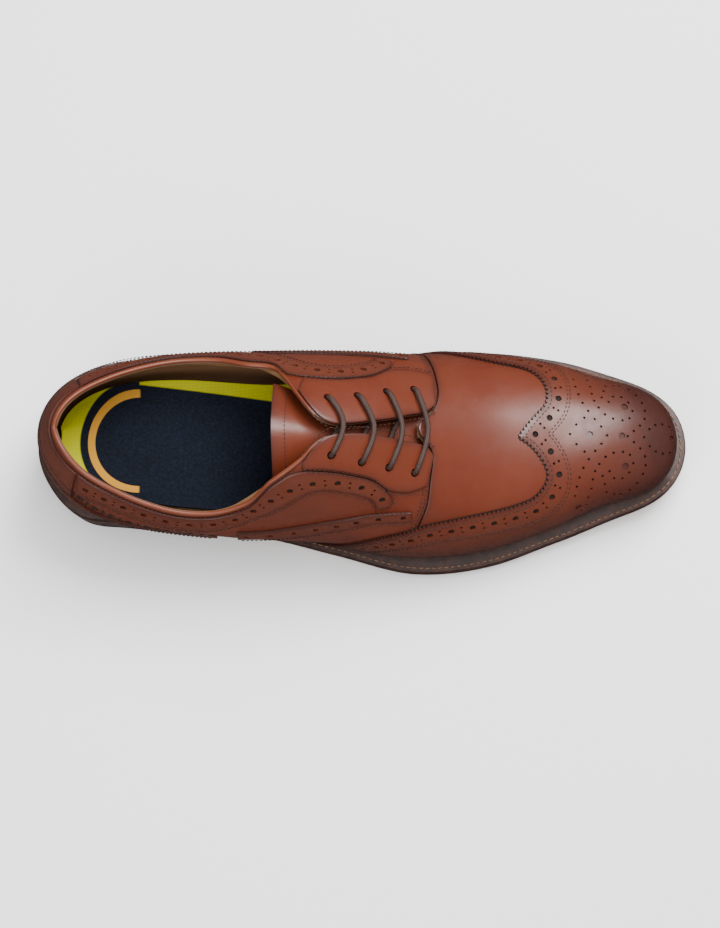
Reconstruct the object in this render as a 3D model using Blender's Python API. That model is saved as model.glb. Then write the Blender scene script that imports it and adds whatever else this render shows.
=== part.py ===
"""Men's leather derby shoe, right foot, built up piece by piece on one last.

Frame: metres, +X to the toe, -Y to the outside of the foot, +Z up. The origin is on the ground under
the middle of the shoe. The last is a formula, and every piece of the upper is a piece of pattern laid
on it: a point of the pattern has a place along and across the last, and a height off it.
"""
import math

import bmesh
import bpy
import numpy as np
from mathutils import Matrix, Vector

# Driving sizes, in metres.
LENGTH = 0.305           # over the sole, heel to toe
BALL_WIDTH = 0.1062      # over the welt at the ball
HEEL_HEIGHT = 0.0220     # stacked heel, ground to outsole
OUTSOLE = 0.0046         # outsole thickness
WELT = 0.0030            # welt thickness
FOLD = 0.0046            # depth of the upper's edge, folded under the insole
WELT_EDGE = 0.0048       # welt standing out past the upper
TOE_SPRING = 0.0110      # lift of the toe off the ground
BACK_HEIGHT = 0.0830     # ground to topline at the back of the heel
ANKLE_HEIGHT = 0.0690    # ground to topline under the ankle
INSTEP_HEIGHT = 0.0985   # ground to the top of the facings
TOE_HEIGHT = 0.0445      # ground to the top of the toe box
HEEL_LENGTH = 0.0720     # heel block, back to breast
LACE = 0.0025            # lace diameter
FOOTBED = 0.0040         # footbed thickness

# Layers of the upper, as heights off the last.
LINING = (0.0003, 0.0011)
STIFFENER = (0.0020, 0.0026)
LEATHER = (0.0031, 0.0042)
PUFF = (0.0023, 0.0030)  # toe puff, where the wing cap stands clear of the lining
OVERLAY = (0.0049, 0.0059)
GAP = 0.0003             # clearance between touching pieces

UPPER_BACK = 0.0015      # upper set in from the back of the sole
HEEL_X = -LENGTH / 2 + UPPER_BACK + OVERLAY[1]
TOE_X = LENGTH / 2 - WELT_EDGE - OVERLAY[1]
UPPER = TOE_X - HEEL_X
OUTSIDE, INSIDE = -1.0, 1.0      # sides of the shoe, as signs of Y

# Shape of the last. Each row is (share of the length, value); widths are shares of the ball width.
AXIS_HEEL, AXIS_TOE = 0.0285, 0.0450
HALF_WIDTH = {
    OUTSIDE: ((.05, .243), (.12, .328), (.22, .376), (.34, .396), (.46, .403), (.58, .444), (.70, .417),
              (.81, .322), (.91, .215)),
    INSIDE: ((.05, .218), (.12, .290), (.22, .322), (.34, .345), (.46, .359), (.58, .367), (.70, .363),
             (.81, .318), (.91, .232)),
}
FEATHER_INSET = {
    OUTSIDE: ((0, .030), (.05, .040), (.12, .057), (.22, .067), (.34, .070), (.46, .041), (.58, .028), (1, .028)),
    INSIDE: ((0, .030), (.22, .050), (.34, .080), (.46, .064), (.58, .036), (.70, .028), (1, .028)),
}
SOLE_HALF = {
    OUTSIDE: ((.05, .280), (.12, .335), (.22, .363), (.34, .391), (.46, .465), (.58, .543), (.70, .509),
              (.81, .399), (.91, .289)),
    INSIDE: ((.05, .272), (.12, .326), (.22, .328), (.34, .325), (.46, .373), (.58, .450), (.70, .453),
             (.81, .406), (.91, .309)),
}
LAST_RADIUS, SOLE_RADIUS = 0.225, 0.29       # plan radius of heel and toe, as shares of the ball width
HEEL_RISE = ((0, 1), (.12, 1), (.22, .93), (.34, .62), (.46, .26), (.58, .04), (.66, 0), (.8, 0), (1, 0))
TOE_RISE = ((0, 0), (.5, 0), (.62, 0), (.72, .05), (.81, .20), (.91, .53), (1, 1))
BULGE = ((0, .0170), (.12, .0170), (.22, .0155), (.34, .0140), (.46, .0130), (.58, .0120), (.70, .0105),
         (.81, .0095), (.91, .0085), (1, .0080))
FULLNESS = ((0, 1.50), (.06, 1.42), (.12, 1.45), (.22, 1.62), (.34, 1.66), (.46, 1.76), (.58, 1.93), (.70, 2.10),
            (.81, 2.25), (.91, 2.35), (1, 2.30))
RIDGE = ((0, 1.03), (.12, 1.01), (.22, 1.03), (.34, 1.04), (.42, .99), (.50, .805), (.60, .49), (.70, .24),
         (.80, .09), (.90, 0), (1, -.14))
RIDGE_SWAY = ((0, .005), (.34, -.015), (.46, -.022), (.52, 0), (.60, .016), (.75, .018), (.88, .028), (1, .045))
HEEL_FAN, HEEL_FAN_START = 0.0220, 0.20      # how far the profile lines gather in from the ends, and from where
TOE_FAN, TOE_FAN_START = 0.0260, 0.79
UNDERCUT = math.radians(70)                  # turn of the last's wall below its widest line



def spline(rows, x):
    """Smooth curve through (place, value) rows."""
    xs, ys = np.array(rows, float).T
    x = np.asarray(x, float)
    step = np.diff(xs)
    slope = np.diff(ys) / step
    tangent = np.empty_like(ys)
    tangent[1:-1] = (slope[:-1] * step[1:] + slope[1:] * step[:-1]) / (step[1:] + step[:-1])
    tangent[0] = 2 * slope[0] - tangent[1]
    tangent[-1] = 2 * slope[-1] - tangent[-2]
    i = np.clip(np.searchsorted(xs, x, side="right") - 1, 0, len(xs) - 2)
    t = (x - xs[i]) / step[i]
    return (ys[i] * (1 + 2 * t) * (1 - t) ** 2 + ys[i + 1] * t * t * (3 - 2 * t)
            + step[i] * t * (1 - t) * (tangent[i] * (1 - t) - tangent[i + 1] * t))


def share(turn):
    """Share of the length at a turn, which goes 0 to 1 from heel to toe with its points close at the ends."""
    return (1 - np.cos(np.pi * np.asarray(turn, float))) / 2


def turn_at(x, back=HEEL_X, length=UPPER):
    """Turn at a place along X."""
    return float(np.arccos(1 - 2 * np.clip((x - back) / length, 0, 1)) / np.pi)


def round_half(rows, turn, length, radius):
    """Half width of an outline with round ends."""
    f = share(turn)
    rows = np.array(rows, float)
    end = math.sqrt(radius * BALL_WIDTH * length / 2)
    full = rows[:, 1] * BALL_WIDTH / (2 * np.sqrt(rows[:, 0] * (1 - rows[:, 0])))
    table = [(0, end), *zip(rows[:, 0], full), (1, end)]
    return np.sin(np.pi * np.asarray(turn, float)) * spline(table, f)


def axis_y(f):
    return BALL_WIDTH * (AXIS_HEEL + (AXIS_TOE - AXIS_HEEL) * f)


def widest(side, turn):
    """Plan outline of the last at its widest line, and the outline's outward direction."""
    def at(t):
        f = share(t)
        return HEEL_X + UPPER * f, axis_y(f) + side * round_half(HALF_WIDTH[side], t, UPPER, LAST_RADIUS)
    x, y = at(turn)
    ahead, behind = at(turn + 1e-4), at(turn - 1e-4)
    run = np.stack([ahead[0] - behind[0], ahead[1] - behind[1]])
    run /= np.hypot(*run)
    return x, y, -side * run[1], side * run[0]


def sole_outline(side, turn, inset=0.0):
    """Plan outline of the sole and welt."""
    f = share(turn)
    length = LENGTH - 2 * inset
    x = -LENGTH / 2 + inset + length * f
    half = round_half(SOLE_HALF[side], turn, LENGTH, SOLE_RADIUS)
    return x, axis_y(f) + side * half * (1 - 2 * inset / (0.8 * BALL_WIDTH))


def seat_z(x):
    """Height of the last's bottom, where the upper meets the sole."""
    f = np.clip((np.asarray(x, float) - HEEL_X) / UPPER, -0.02, 1.02)
    stack = OUTSOLE + WELT + FOLD + 3 * GAP
    return stack + HEEL_HEIGHT * spline(HEEL_RISE, f) + TOE_SPRING * spline(TOE_RISE, f)


def ridge_z(x):
    f = np.clip((x - HEEL_X) / UPPER, 0, 1)
    return TOE_HEIGHT + (INSTEP_HEIGHT - TOE_HEIGHT) * spline(RIDGE, f)


def ridge_xy(turn):
    """Where a profile line starts, on the centre line over the foot."""
    f = share(turn)
    heel = HEEL_FAN * np.clip(1 - f / HEEL_FAN_START, 0, 1) ** 2
    toe = TOE_FAN * np.clip((f - TOE_FAN_START) / (1 - TOE_FAN_START), 0, 1) ** 2
    x = HEEL_X + UPPER * f + heel - toe
    return x, BALL_WIDTH * spline(RIDGE_SWAY, f)


def last_point(side, turn, lean):
    """Point of the last. lean runs from 90 degrees at the ridge, by 0 at the widest line, to -UNDERCUT."""
    turn, lean = np.broadcast_arrays(np.asarray(turn, float), np.asarray(lean, float))
    f = share(turn)
    edge_x, edge_y, out_x, out_y = widest(side, turn)
    top_x, top_y = ridge_xy(turn)
    bulge_z = seat_z(edge_x) + spline(BULGE, f)
    power = spline(FULLNESS, f)
    up = np.maximum(lean, 0)
    size = (np.abs(np.cos(up)) ** power + np.abs(np.sin(up)) ** power) ** (1 / power)
    across, rise = np.cos(up) / size, np.sin(up) / size
    x = top_x + (edge_x - top_x) * across
    y = top_y + (edge_y - top_y) * across
    z = bulge_z + (ridge_z(x) - bulge_z) * rise
    down = np.maximum(-lean, 0)
    inset = BALL_WIDTH * spline(FEATHER_INSET[side], f) * (1 - np.cos(down)) / (1 - math.cos(UNDERCUT))
    drop = spline(BULGE, f) * np.sin(down) / math.sin(UNDERCUT)
    return np.stack([x - out_x * inset, y - out_y * inset, z - drop], -1)


class Pattern:
    """The last's surface laid out flat: plan view, with the walls folded outwards at their true height."""

    TURNS = np.linspace(0, 1, 161)
    LEANS = np.radians(np.linspace(90, -math.degrees(UNDERCUT), 97))

    def __init__(self, side):
        self.side = side
        grid = last_point(side, self.TURNS[:, None], self.LEANS[None, :])
        steps = np.linalg.norm(np.diff(grid, axis=1), axis=2)
        self.length = np.concatenate([np.zeros((len(self.TURNS), 1)), np.cumsum(steps, axis=1)], axis=1)
        self.girth = self.length[:, -1]
        self.shares = np.linspace(0, 1, 97)
        self.lean = np.array([np.interp(self.shares * row[-1], row, self.LEANS) for row in self.length])
        self.fine = np.linspace(0, 1, 2001)
        edge_x, edge_y, _, _ = widest(side, self.fine)
        self.top = np.stack(ridge_xy(self.fine))
        run = np.stack([edge_x, edge_y]) - self.top
        self.reach = np.hypot(*run)
        self.run = run / self.reach

    def line(self, turn):
        """Start and direction of the profile lines at these turns."""
        start = [np.interp(turn, self.fine, row) for row in self.top]
        run = [np.interp(turn, self.fine, row) for row in self.run]
        return start[0], start[1], run[0], run[1]

    def find(self, x, y):
        """Turn, and distance from the ridge, of flat points."""
        low, high = np.zeros_like(x), np.ones_like(x)
        for _ in range(32):
            turn = (low + high) / 2
            sx, sy, rx, ry = self.line(turn)
            past = self.side * (rx * (y - sy) - ry * (x - sx)) > 0
            high = np.where(past, turn, high)
            low = np.where(past, low, turn)
        sx, sy, rx, ry = self.line(turn)
        return turn, rx * (x - sx) + ry * (y - sy)

    def flat(self, turn, distance):
        sx, sy, rx, ry = self.line(turn)
        return np.stack([sx + rx * distance, sy + ry * distance], -1)

    def table(self, table, turn, column):
        """Value in a table by turn and column number."""
        a = np.clip(turn * (len(self.TURNS) - 1), 0, len(self.TURNS) - 1.000001)
        b = np.clip(column, 0, table.shape[1] - 1.000001)
        i, j = a.astype(int), b.astype(int)
        a, b = a - i, b - j
        return ((1 - a) * ((1 - b) * table[i, j] + b * table[i, j + 1])
                + a * ((1 - b) * table[i + 1, j] + b * table[i + 1, j + 1]))

    def solid(self, x, y):
        """Flat points onto the last."""
        turn, distance = self.find(x, y)
        part = distance / np.interp(turn, self.TURNS, self.girth)
        lean = self.table(self.lean, turn, part * 96)
        lean = lean - np.maximum(part - 1, 0) * 2.0
        return last_point(self.side, turn, lean)

    def distance(self, turn, lean):
        column = (math.pi / 2 - lean) / (math.pi / 2 + UNDERCUT) * 96
        return self.table(self.length, np.asarray(turn, float), column)

    def from_plan(self, x, y, height=0.0045):
        """Flat points whose places, raised by a height, are seen at x, y from above."""
        goal = np.stack([np.atleast_1d(x), np.atleast_1d(y)], -1).astype(float)
        middle = axis_y(0.5)
        aim = goal * [1, 0.88] + [0, 0.12 * middle]
        for _ in range(12):
            flat = self.under_plan(aim[:, 0], aim[:, 1])
            aim = aim + 0.7 * (goal - lasted(flat, np.full(len(flat), height))[:, :2])
        return flat[0] if np.ndim(x) == 0 else flat

    def under_plan(self, x, y):
        """Flat points of places on the bare last, seen from above."""
        turn, far = self.find(x, y)
        across = np.clip(far / np.interp(turn, self.fine, self.reach), 0, 1)
        power = spline(FULLNESS, share(turn))
        rise = (1 - across ** power) ** (1 / power)
        return self.flat(turn, self.distance(turn, np.arctan2(rise, across)))

    def from_height(self, turn, z):
        """Flat point at a height over the ground."""
        turn, z = np.broadcast_arrays(np.asarray(turn, float), np.asarray(z, float))
        low, high = np.full(turn.shape, -UNDERCUT), np.full(turn.shape, math.pi / 2)
        for _ in range(32):
            lean = (low + high) / 2
            above = last_point(self.side, turn, lean)[..., 2] > z
            high = np.where(above, lean, high)
            low = np.where(above, low, lean)
        return self.flat(turn, self.distance(turn, lean))

    def feather(self, turn, up=0.0):
        """Flat points of the line where the upper meets the sole, or a little up the wall from it."""
        turn = np.asarray(turn, float)
        return self.flat(turn, np.interp(turn, self.TURNS, self.girth) - up)


PATTERN = {side: Pattern(side) for side in (OUTSIDE, INSIDE)}


def onto_last(flat):
    """Flat pattern points, on either side, onto the last."""
    x, y = flat[..., 0], flat[..., 1]
    ends_x, ends_y = widest(INSIDE, np.array([0.0, 1.0]))[:2]
    ridge_x, ridge_y = PATTERN[INSIDE].top
    slope = (ridge_y[0] - ends_y[0]) / (ridge_x[0] - ends_x[0])
    xs = np.concatenate([[ends_x[0] - LENGTH], ridge_x, [ends_x[1] + LENGTH]])
    ys = np.concatenate([[ends_y[0] - LENGTH * slope], ridge_y, [ends_y[1]]])
    middle = np.interp(x, xs, ys)
    return np.where((y > middle)[..., None], PATTERN[INSIDE].solid(x, y), PATTERN[OUTSIDE].solid(x, y))


def lasted(flat, height):
    """Flat points onto the last, raised off it by a height."""
    nudge = 0.0004
    along = onto_last(flat + [nudge, 0]) - onto_last(flat - [nudge, 0])
    across = onto_last(flat + [0, nudge]) - onto_last(flat - [0, nudge])
    normal = np.cross(along, across)
    normal /= np.linalg.norm(normal, axis=-1, keepdims=True)
    return onto_last(flat) + normal * np.asarray(height)[..., None]


def between(a, b, rows, bend=0.0):
    """Rows of flat points from curve a to curve b."""
    t = np.linspace(0, 1, rows)[:, None, None]
    t = t + bend * t * (1 - t)
    return a[None] * (1 - t) + b[None] * t


def resample(points, count):
    """The same curve with evenly spaced points."""
    points = np.asarray(points, float)
    steps = np.concatenate([[0], np.cumsum(np.linalg.norm(np.diff(points, axis=0), axis=1))])
    at = np.linspace(0, steps[-1], count)
    return np.stack([np.interp(at, steps, column) for column in points.T], -1)


def curve(points, count):
    """Smooth curve through hand-placed points, evenly spaced."""
    points = np.asarray(points, float)
    place = np.concatenate([[0], np.cumsum(np.linalg.norm(np.diff(points, axis=0), axis=1))])
    fine = np.linspace(0, place[-1], 12 * len(points))
    return resample(np.stack([spline(np.stack([place, column], -1), fine) for column in points.T], -1), count)


# Scene, collections and materials.
for old in list(bpy.data.objects):
    bpy.data.objects.remove(old, do_unlink=True)
SHOE = bpy.data.collections.new("derby_shoe")
CUTTERS = bpy.data.collections.new("cutters")
bpy.context.scene.collection.children.link(SHOE)
bpy.context.scene.collection.children.link(CUTTERS)


def finish(name, colour, roughness, metallic=0.0):
    material = bpy.data.materials.new(name)
    material.use_nodes = True
    surface = material.node_tree.nodes["Principled BSDF"]
    surface.inputs["Base Color"].default_value = (*colour, 1)
    surface.inputs["Roughness"].default_value = roughness
    surface.inputs["Metallic"].default_value = metallic
    return material


COGNAC, BURNISHED, TRIM = (0.30, 0.105, 0.045), (0.13, 0.045, 0.028), (0.42, 0.16, 0.05)
LINING_TAN, BOARD, STEEL, CORK = (0.45, 0.29, 0.16), (0.35, 0.27, 0.18), (0.55, 0.55, 0.57), (0.40, 0.25, 0.13)
SOLE_BROWN, RUBBER, WOVEN, LACE_BROWN = (0.16, 0.075, 0.035), (0.03, 0.025, 0.02), (0.42, 0.45, 0.05), (0.06, 0.04, 0.03)


def add_mesh(name, points, faces, colour, roughness=0.5, metallic=0.0, smooth=True):
    """A named object from points and faces, with its coinciding points merged and its faces outward."""
    mesh = bpy.data.meshes.new(name)
    mesh.from_pydata([tuple(p) for p in points], [], faces)
    build = bmesh.new()
    build.from_mesh(mesh)
    bmesh.ops.remove_doubles(build, verts=build.verts, dist=0.00002)
    bmesh.ops.dissolve_degenerate(build, dist=0.000005, edges=build.edges)
    bmesh.ops.recalc_face_normals(build, faces=build.faces)
    build.to_mesh(mesh)
    build.free()
    body = bpy.data.objects.new(name, mesh)
    SHOE.objects.link(body)
    mesh.materials.append(finish(name, colour, roughness, metallic))
    if smooth:
        mesh.shade_smooth()
        mesh.set_sharp_from_angle(angle=math.radians(40))
    return body


def loft(name, inner, outer, colour, roughness=0.5, metallic=0.0):
    """Closed body between two matching grids of points."""
    rows, columns = inner.shape[:2]
    points = np.concatenate([inner.reshape(-1, 3), outer.reshape(-1, 3)])
    lift = rows * columns
    faces = []
    for i in range(rows - 1):
        for j in range(columns - 1):
            a, b, c, d = i * columns + j, i * columns + j + 1, (i + 1) * columns + j + 1, (i + 1) * columns + j
            faces += [(a, b, c, d), (lift + d, lift + c, lift + b, lift + a)]
    rim = [j for j in range(columns)] + [i * columns + columns - 1 for i in range(1, rows)]
    rim += [(rows - 1) * columns + j for j in range(columns - 2, -1, -1)]
    rim += [i * columns for i in range(rows - 2, 0, -1)]
    for a, b in zip(rim, rim[1:] + rim[:1]):
        faces.append((b, a, lift + a, lift + b))
    return add_mesh(name, points, faces, colour, roughness, metallic)


def leather(name, flat, layer, colour, roughness=0.45):
    """A piece of the upper: a grid of flat pattern points, lasted and given the thickness of its layer."""
    return loft(name, lasted(flat, layer[0]), lasted(flat, layer[1]), colour, roughness)


# Patterns of the upper. They are drawn in millimetres on the standard last, as seen from above, and graded
# to this one. The inside of the foot is at +Y.
STANDARD = (305.0, 106.2)
BINDING = 0.0024         # height of the bound edge along the topline
SEAM = 0.0006            # space between two butted pieces
LOWEST = 0.0006          # the upper stops this far up from the sole


def graded(points):
    return np.array(points, float) * [LENGTH / STANDARD[0], BALL_WIDTH / STANDARD[1]]


def drawn(side, points, count):
    """Smooth pattern line through places drawn on one side, seen from above."""
    plan = graded(points)
    return curve(PATTERN[side].from_plan(plan[:, 0], plan[:, 1]), count)


def join(*lines):
    return np.concatenate(lines)


TOPLINE = ((0, 1.00), (.05, .85), (.10, .56), (.16, .24), (.22, .02), (.27, .07), (.32, .50))
FACING = {
    OUTSIDE: ((-42, -24.3), (-35, -20), (-28, -15), (-22.9, -9.9), (-18.5, -6.2), (-14.3, -4.4), (-7.4, -3.2),
              (0.7, -2.4), (7.6, -2.6), (14.4, -3.4), (20, -3.8), (24.3, -4.2), (29.4, -5.8), (32, -9.3)),
    INSIDE: ((-42, 31), (-35.4, 24), (-29.9, 15.2), (-23.5, 6.9), (-19.5, 3.4), (-14.4, 1.2), (-6.2, 1.8),
             (4.1, 3.9), (14.3, 6.4), (21.6, 8.8), (26.2, 10), (29.3, 11.5), (33.1, 15.2)),
}
FRONT = {
    OUTSIDE: ((32, -9.3), (31.2, -15.5), (30.4, -21.9), (29.5, -29.2), (26.5, -36.9), (23, -42)),
    INSIDE: ((33.1, 15.2), (34.3, 20.7), (33.3, 29.7), (30.9, 38.5), (28.3, 44)),
}
QUARTER_END = {OUTSIDE: .570, INSIDE: .585}     # where the quarter's front meets the sole


def topline(side, lower, count):
    """The topline and the facing edge of one side, heel to throat, lowered by the width of the binding."""
    pattern = PATTERN[side]
    f = np.array([row[0] for row in TOPLINE])
    turn = np.arccos(1 - 2 * f) / math.pi
    turn[0] = 0.0012
    z = ANKLE_HEIGHT + (BACK_HEIGHT - ANKLE_HEIGHT) * np.array([row[1] for row in TOPLINE])
    facing = graded(FACING[side])
    line = join(pattern.from_height(turn, z), pattern.from_plan(facing[:, 0], facing[:, 1]))
    turn, distance = pattern.find(line[:, 0], line[:, 1])
    fade = np.clip((facing[4, 0] - line[:, 0]) / 0.012, 0, 1)
    return curve(pattern.flat(turn, distance + lower * fade), count)


def hem(side, start, end, count, up=LOWEST):
    """Line just above the sole, between two shares of the length."""
    turn = np.linspace(math.acos(1 - 2 * start), math.acos(1 - 2 * end), count) / math.pi
    return resample(PATTERN[side].feather(turn, up), count)


def front_edge(side, ahead, count):
    """Front edge of a quarter down to the sole, moved ahead by a seam."""
    line = drawn(side, FRONT[side], 12)
    end = PATTERN[side].feather(np.array([math.acos(1 - 2 * QUARTER_END[side]) / math.pi]), LOWEST)
    return curve(join(line, end), count) + [ahead, 0]


def quarter_pattern(side, lower, rows, columns):
    top = topline(side, lower, columns)
    low = hem(side, 0.000004, QUARTER_END[side], columns)
    flat = between(top, low, rows)
    front = front_edge(side, 0, rows)
    blend = np.linspace(0, 1, columns)[None, :, None] ** 6
    return flat + (front[:, None] - flat[:, -1:]) * blend


def forepart_pattern(edge, start, end, rows, side_columns):
    """From an edge across the foot down to the sole round the toe."""
    low = join(hem(OUTSIDE, start, 1, side_columns), hem(INSIDE, end, 1, side_columns)[::-1][1:])
    return between(resample(edge, len(low)), low, rows)


THROAT = ((32.6, -9.0), (30, -3.5), (26.5, 0), (25.5, 3), (27, 7), (30.5, 9.6), (33.7, 14.8))


VAMP_FRONT = {
    OUTSIDE: ((30, -43.5), (40, -42.5), (50, -41), (60, -38.5), (70, -36), (80, -32.5), (89, -27.5), (94.5, -20),
              (95, -12), (91, -4), (84, 2.9)),
    INSIDE: ((84, 2.9), (91, 11), (95, 20), (95.5, 28), (91, 35.5), (83, 40), (72, 43), (60, 45), (48, 46.5)),
}


def ridge_at(x):
    """Y of the centre line of the forepart at a place along it."""
    return np.interp(x, *PATTERN[INSIDE].top)


def throat_edge(count, outside_short=0, inside_short=0):
    """Edge from the sole over the foot to the sole again, a seam ahead of the quarters and round the throat."""
    throat = graded(THROAT)
    sides = [OUTSIDE if y < ridge_at(x) else INSIDE for x, y in throat]
    middle = np.array([PATTERN[side].from_plan(x, y) for side, (x, y) in zip(sides, throat)])
    outside = front_edge(OUTSIDE, SEAM, count)[:count - outside_short][::-1]
    return join(outside, curve(middle, 9)[1:-1], front_edge(INSIDE, SEAM, count)[:count - inside_short])


def lining_pattern(rows, side_columns):
    start, end = QUARTER_END[OUTSIDE] + 0.003, QUARTER_END[INSIDE] + 0.003
    return forepart_pattern(throat_edge(14), start, end, rows, side_columns)


def vamp_pattern(rows, columns):
    front = join(drawn(OUTSIDE, VAMP_FRONT[OUTSIDE], 30), drawn(INSIDE, VAMP_FRONT[INSIDE], 30)[1:])
    return between(resample(throat_edge(18, 3, 4), columns), resample(front, columns), rows)


WING = {
    OUTSIDE: ((71.9, 3.1), (78.1, -3.1), (83.7, -7.9), (85.3, -14), (83.7, -19.9), (78.7, -24.6), (71.2, -27.9),
              (62.3, -30.6), (53.1, -32.8), (44.2, -35), (35.1, -37), (26.4, -39), (18.8, -41.3), (9, -42.9),
              (-0.1, -43.9), (-9.6, -44.4)),
    INSIDE: ((71.9, 3.1), (79.2, 12.7), (84.2, 18.3), (85.8, 23.2), (84.6, 27.8), (80.7, 34.2), (73.8, 37.6),
             (65, 39.4), (53.9, 42), (44.9, 44.2), (36.3, 46.6)),
}
WING_END = {OUTSIDE: .370, INSIDE: .545}


def wing_edge(side, count):
    line = drawn(side, WING[side], 40)
    end = PATTERN[side].feather(np.array([math.acos(1 - 2 * WING_END[side]) / math.pi]), LOWEST)
    return curve(join(line[::3], end), count)


def wing_pattern(rows, side_columns):
    edge = join(wing_edge(OUTSIDE, 40)[::-1], wing_edge(INSIDE, 40)[1:])
    return forepart_pattern(edge, WING_END[OUTSIDE], WING_END[INSIDE], rows, side_columns)


def strip_pattern(a, b, rows, columns):
    """Flat strip between two lines."""
    return between(resample(a, columns), resample(b, columns), rows)


BAND_TOP = {
    OUTSIDE: ((-33.5, -21.5), (-27, -19.9), (-19.5, -19.7), (-5, -20.6), (4.5, -22.2), (10.5, -25.6), (12.9, -28.6),
              (12.9, -31.4)),
    INSIDE: ((-35, 26.2), (-27, 24.5), (-17, 24), (-5, 25.2), (4.5, 27.4), (10.5, 31), (12.9, 34), (12.8, 36.8)),
}
BAND_LOW = {
    OUTSIDE: ((-131, -24.4), (-121, -29.4), (-108, -34.1), (-94.7, -38), (-80.4, -40.1), (-67.9, -40.3), (-58.7, -39),
              (-49.9, -37), (-42.3, -35.1), (-35.7, -32.6), (-24, -27.6), (-18.5, -26.6), (-9.6, -27), (-.9, -28),
              (3.9, -29.4), (5.6, -31.2), (5.6, -33.2)),
    INSIDE: ((-131, 27.4), (-121, 31.5), (-108, 35.6), (-94.7, 38.4), (-80.4, 40.4), (-67.9, 41.4), (-58.7, 41.4),
             (-49.9, 40.6), (-42.3, 38.8), (-34, 35.6), (-27.4, 32.4), (-19.9, 30.8), (-9.8, 30.9), (-1.2, 33),
             (3.3, 34.6), (4.9, 36.4), (4.9, 38.2)),
}
LOW_BAND = {
    OUTSIDE: (((-58, -41.4), (-45, -41), (-31, -39.6), (-10, -37), (2, -35.2), (12.5, -34.2), (22, -33.4)),
              ((-58, -42.8), (-45.6, -42.7), (-31.3, -42), (-10, -40), (1.6, -38.4), (13.5, -37.6), (22.5, -37.1))),
    INSIDE: (((-52, 42.6), (-40, 42.2), (-24, 41.8), (-10, 41.4), (2, 40.6), (12, 39.8), (21, 39.2)),
             ((-52, 44.6), (-40, 44.4), (-24, 44.2), (-10, 43.9), (2, 43.4), (12, 42.6), (21, 41.8))),
}
BACK_TAB_END, BACK_TAB_DEPTH = .048, 0.024
FOXING_END = {OUTSIDE: .270, INSIDE: .250}


def band_pattern(side, rows, columns):
    """The strip that follows the topline and turns down the side ahead of the eyelets."""
    edge = topline(side, BINDING + SEAM, 120)
    turn = PATTERN[side].find(edge[:, 0], edge[:, 1])[0]
    corner = graded(BAND_TOP[side])[0, 0]
    start = turn_at(HEEL_X + UPPER * (BACK_TAB_END + 0.004))
    upper = edge[(turn > start) & (edge[:, 0] < corner - 0.002)]
    return strip_pattern(join(upper, drawn(side, BAND_TOP[side], 16)), drawn(side, BAND_LOW[side], 60), rows, columns)


def eyelet_tab_pattern(side, rows, columns):
    edge = topline(side, BINDING + SEAM, 160)
    corner = graded(FACING[side])[2, 0]
    inner = edge[edge[:, 0] > corner]
    band = graded(BAND_TOP[side])
    outer = band[1:6] + [0, -side * 0.0009]
    end = graded(FRONT[side])[2] - [0.0012, 0]
    outer = np.concatenate([outer, [end]])
    return strip_pattern(inner, curve(PATTERN[side].from_plan(outer[:, 0], outer[:, 1]), columns), rows, columns)


def heel_strip(start, end, top, low, rows, columns):
    """Piece wrapped round the heel, between two heights given as functions of the turn."""
    lines = []
    for height in (top, low):
        line = []
        for side, stop in ((OUTSIDE, start), (INSIDE, end)):
            turn = np.linspace(0, math.acos(1 - 2 * stop) / math.pi, columns)
            line.append(PATTERN[side].from_height(turn, height(turn)))
        lines.append(resample(join(line[0][::-1], line[1][1:]), 2 * columns - 1))
    return between(*lines, rows)


def topline_z(turn, lower=0.0):
    return ANKLE_HEIGHT + (BACK_HEIGHT - ANKLE_HEIGHT) * spline(TOPLINE, share(turn)) - lower


def foxing_top(turn):
    """Top edge of the heel foxing: up at the back tab, then sweeping down to the sole."""
    low = seat_z(HEEL_X) + 0.004
    high = topline_z(turn, BACK_TAB_DEPTH + 2 * SEAM)
    return low + (high - low) * np.cos(np.clip(share(turn) / .27, 0, 1) * math.pi / 2) ** 0.7


def hem_z(turn):
    return seat_z(HEEL_X + UPPER * share(turn)) + LOWEST


def make_uppers():
    for side, word in ((OUTSIDE, "outside"), (INSIDE, "inside")):
        pattern = quarter_pattern(side, BINDING + 3 * SEAM, 11, 26)
        leather(f"quarter_lining_{word}", pattern, LINING, LINING_TAN, 0.7)
        leather(f"quarter_{word}", pattern, LEATHER, COGNAC)
        leather(f"top_band_{word}", band_pattern(side, 3, 26), OVERLAY, BURNISHED)
        leather(f"side_band_{word}", strip_pattern(*[drawn(side, line, 12) for line in LOW_BAND[side]], 2, 12),
                OVERLAY, BURNISHED)
        leather(f"eyelet_tab_{word}", eyelet_tab_pattern(side, 4, 12), OVERLAY, COGNAC)
    lining = lining_pattern(13, 16)
    leather("vamp_lining", lining, LINING, LINING_TAN, 0.7)
    leather("toe_puff", lining[8:-1, 8:-8], PUFF, BOARD, 0.8)
    leather("vamp", vamp_pattern(7, 30), LEATHER, COGNAC)
    leather("wing_cap", wing_pattern(13, 21), OVERLAY, BURNISHED)
    leather("back_tab", heel_strip(BACK_TAB_END, BACK_TAB_END, lambda turn: topline_z(turn, BINDING + SEAM),
                                   lambda turn: topline_z(turn, BACK_TAB_DEPTH), 4, 5), OVERLAY, COGNAC)
    leather("heel_foxing", heel_strip(FOXING_END[OUTSIDE], FOXING_END[INSIDE], foxing_top, hem_z, 6, 17), OVERLAY,
            BURNISHED)
    leather("heel_counter", heel_strip(.18, .18, lambda turn: 0 * turn + BACK_HEIGHT - 0.024,
                                       lambda turn: hem_z(turn) + 0.002, 7, 12), STIFFENER, BOARD, 0.8)


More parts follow.
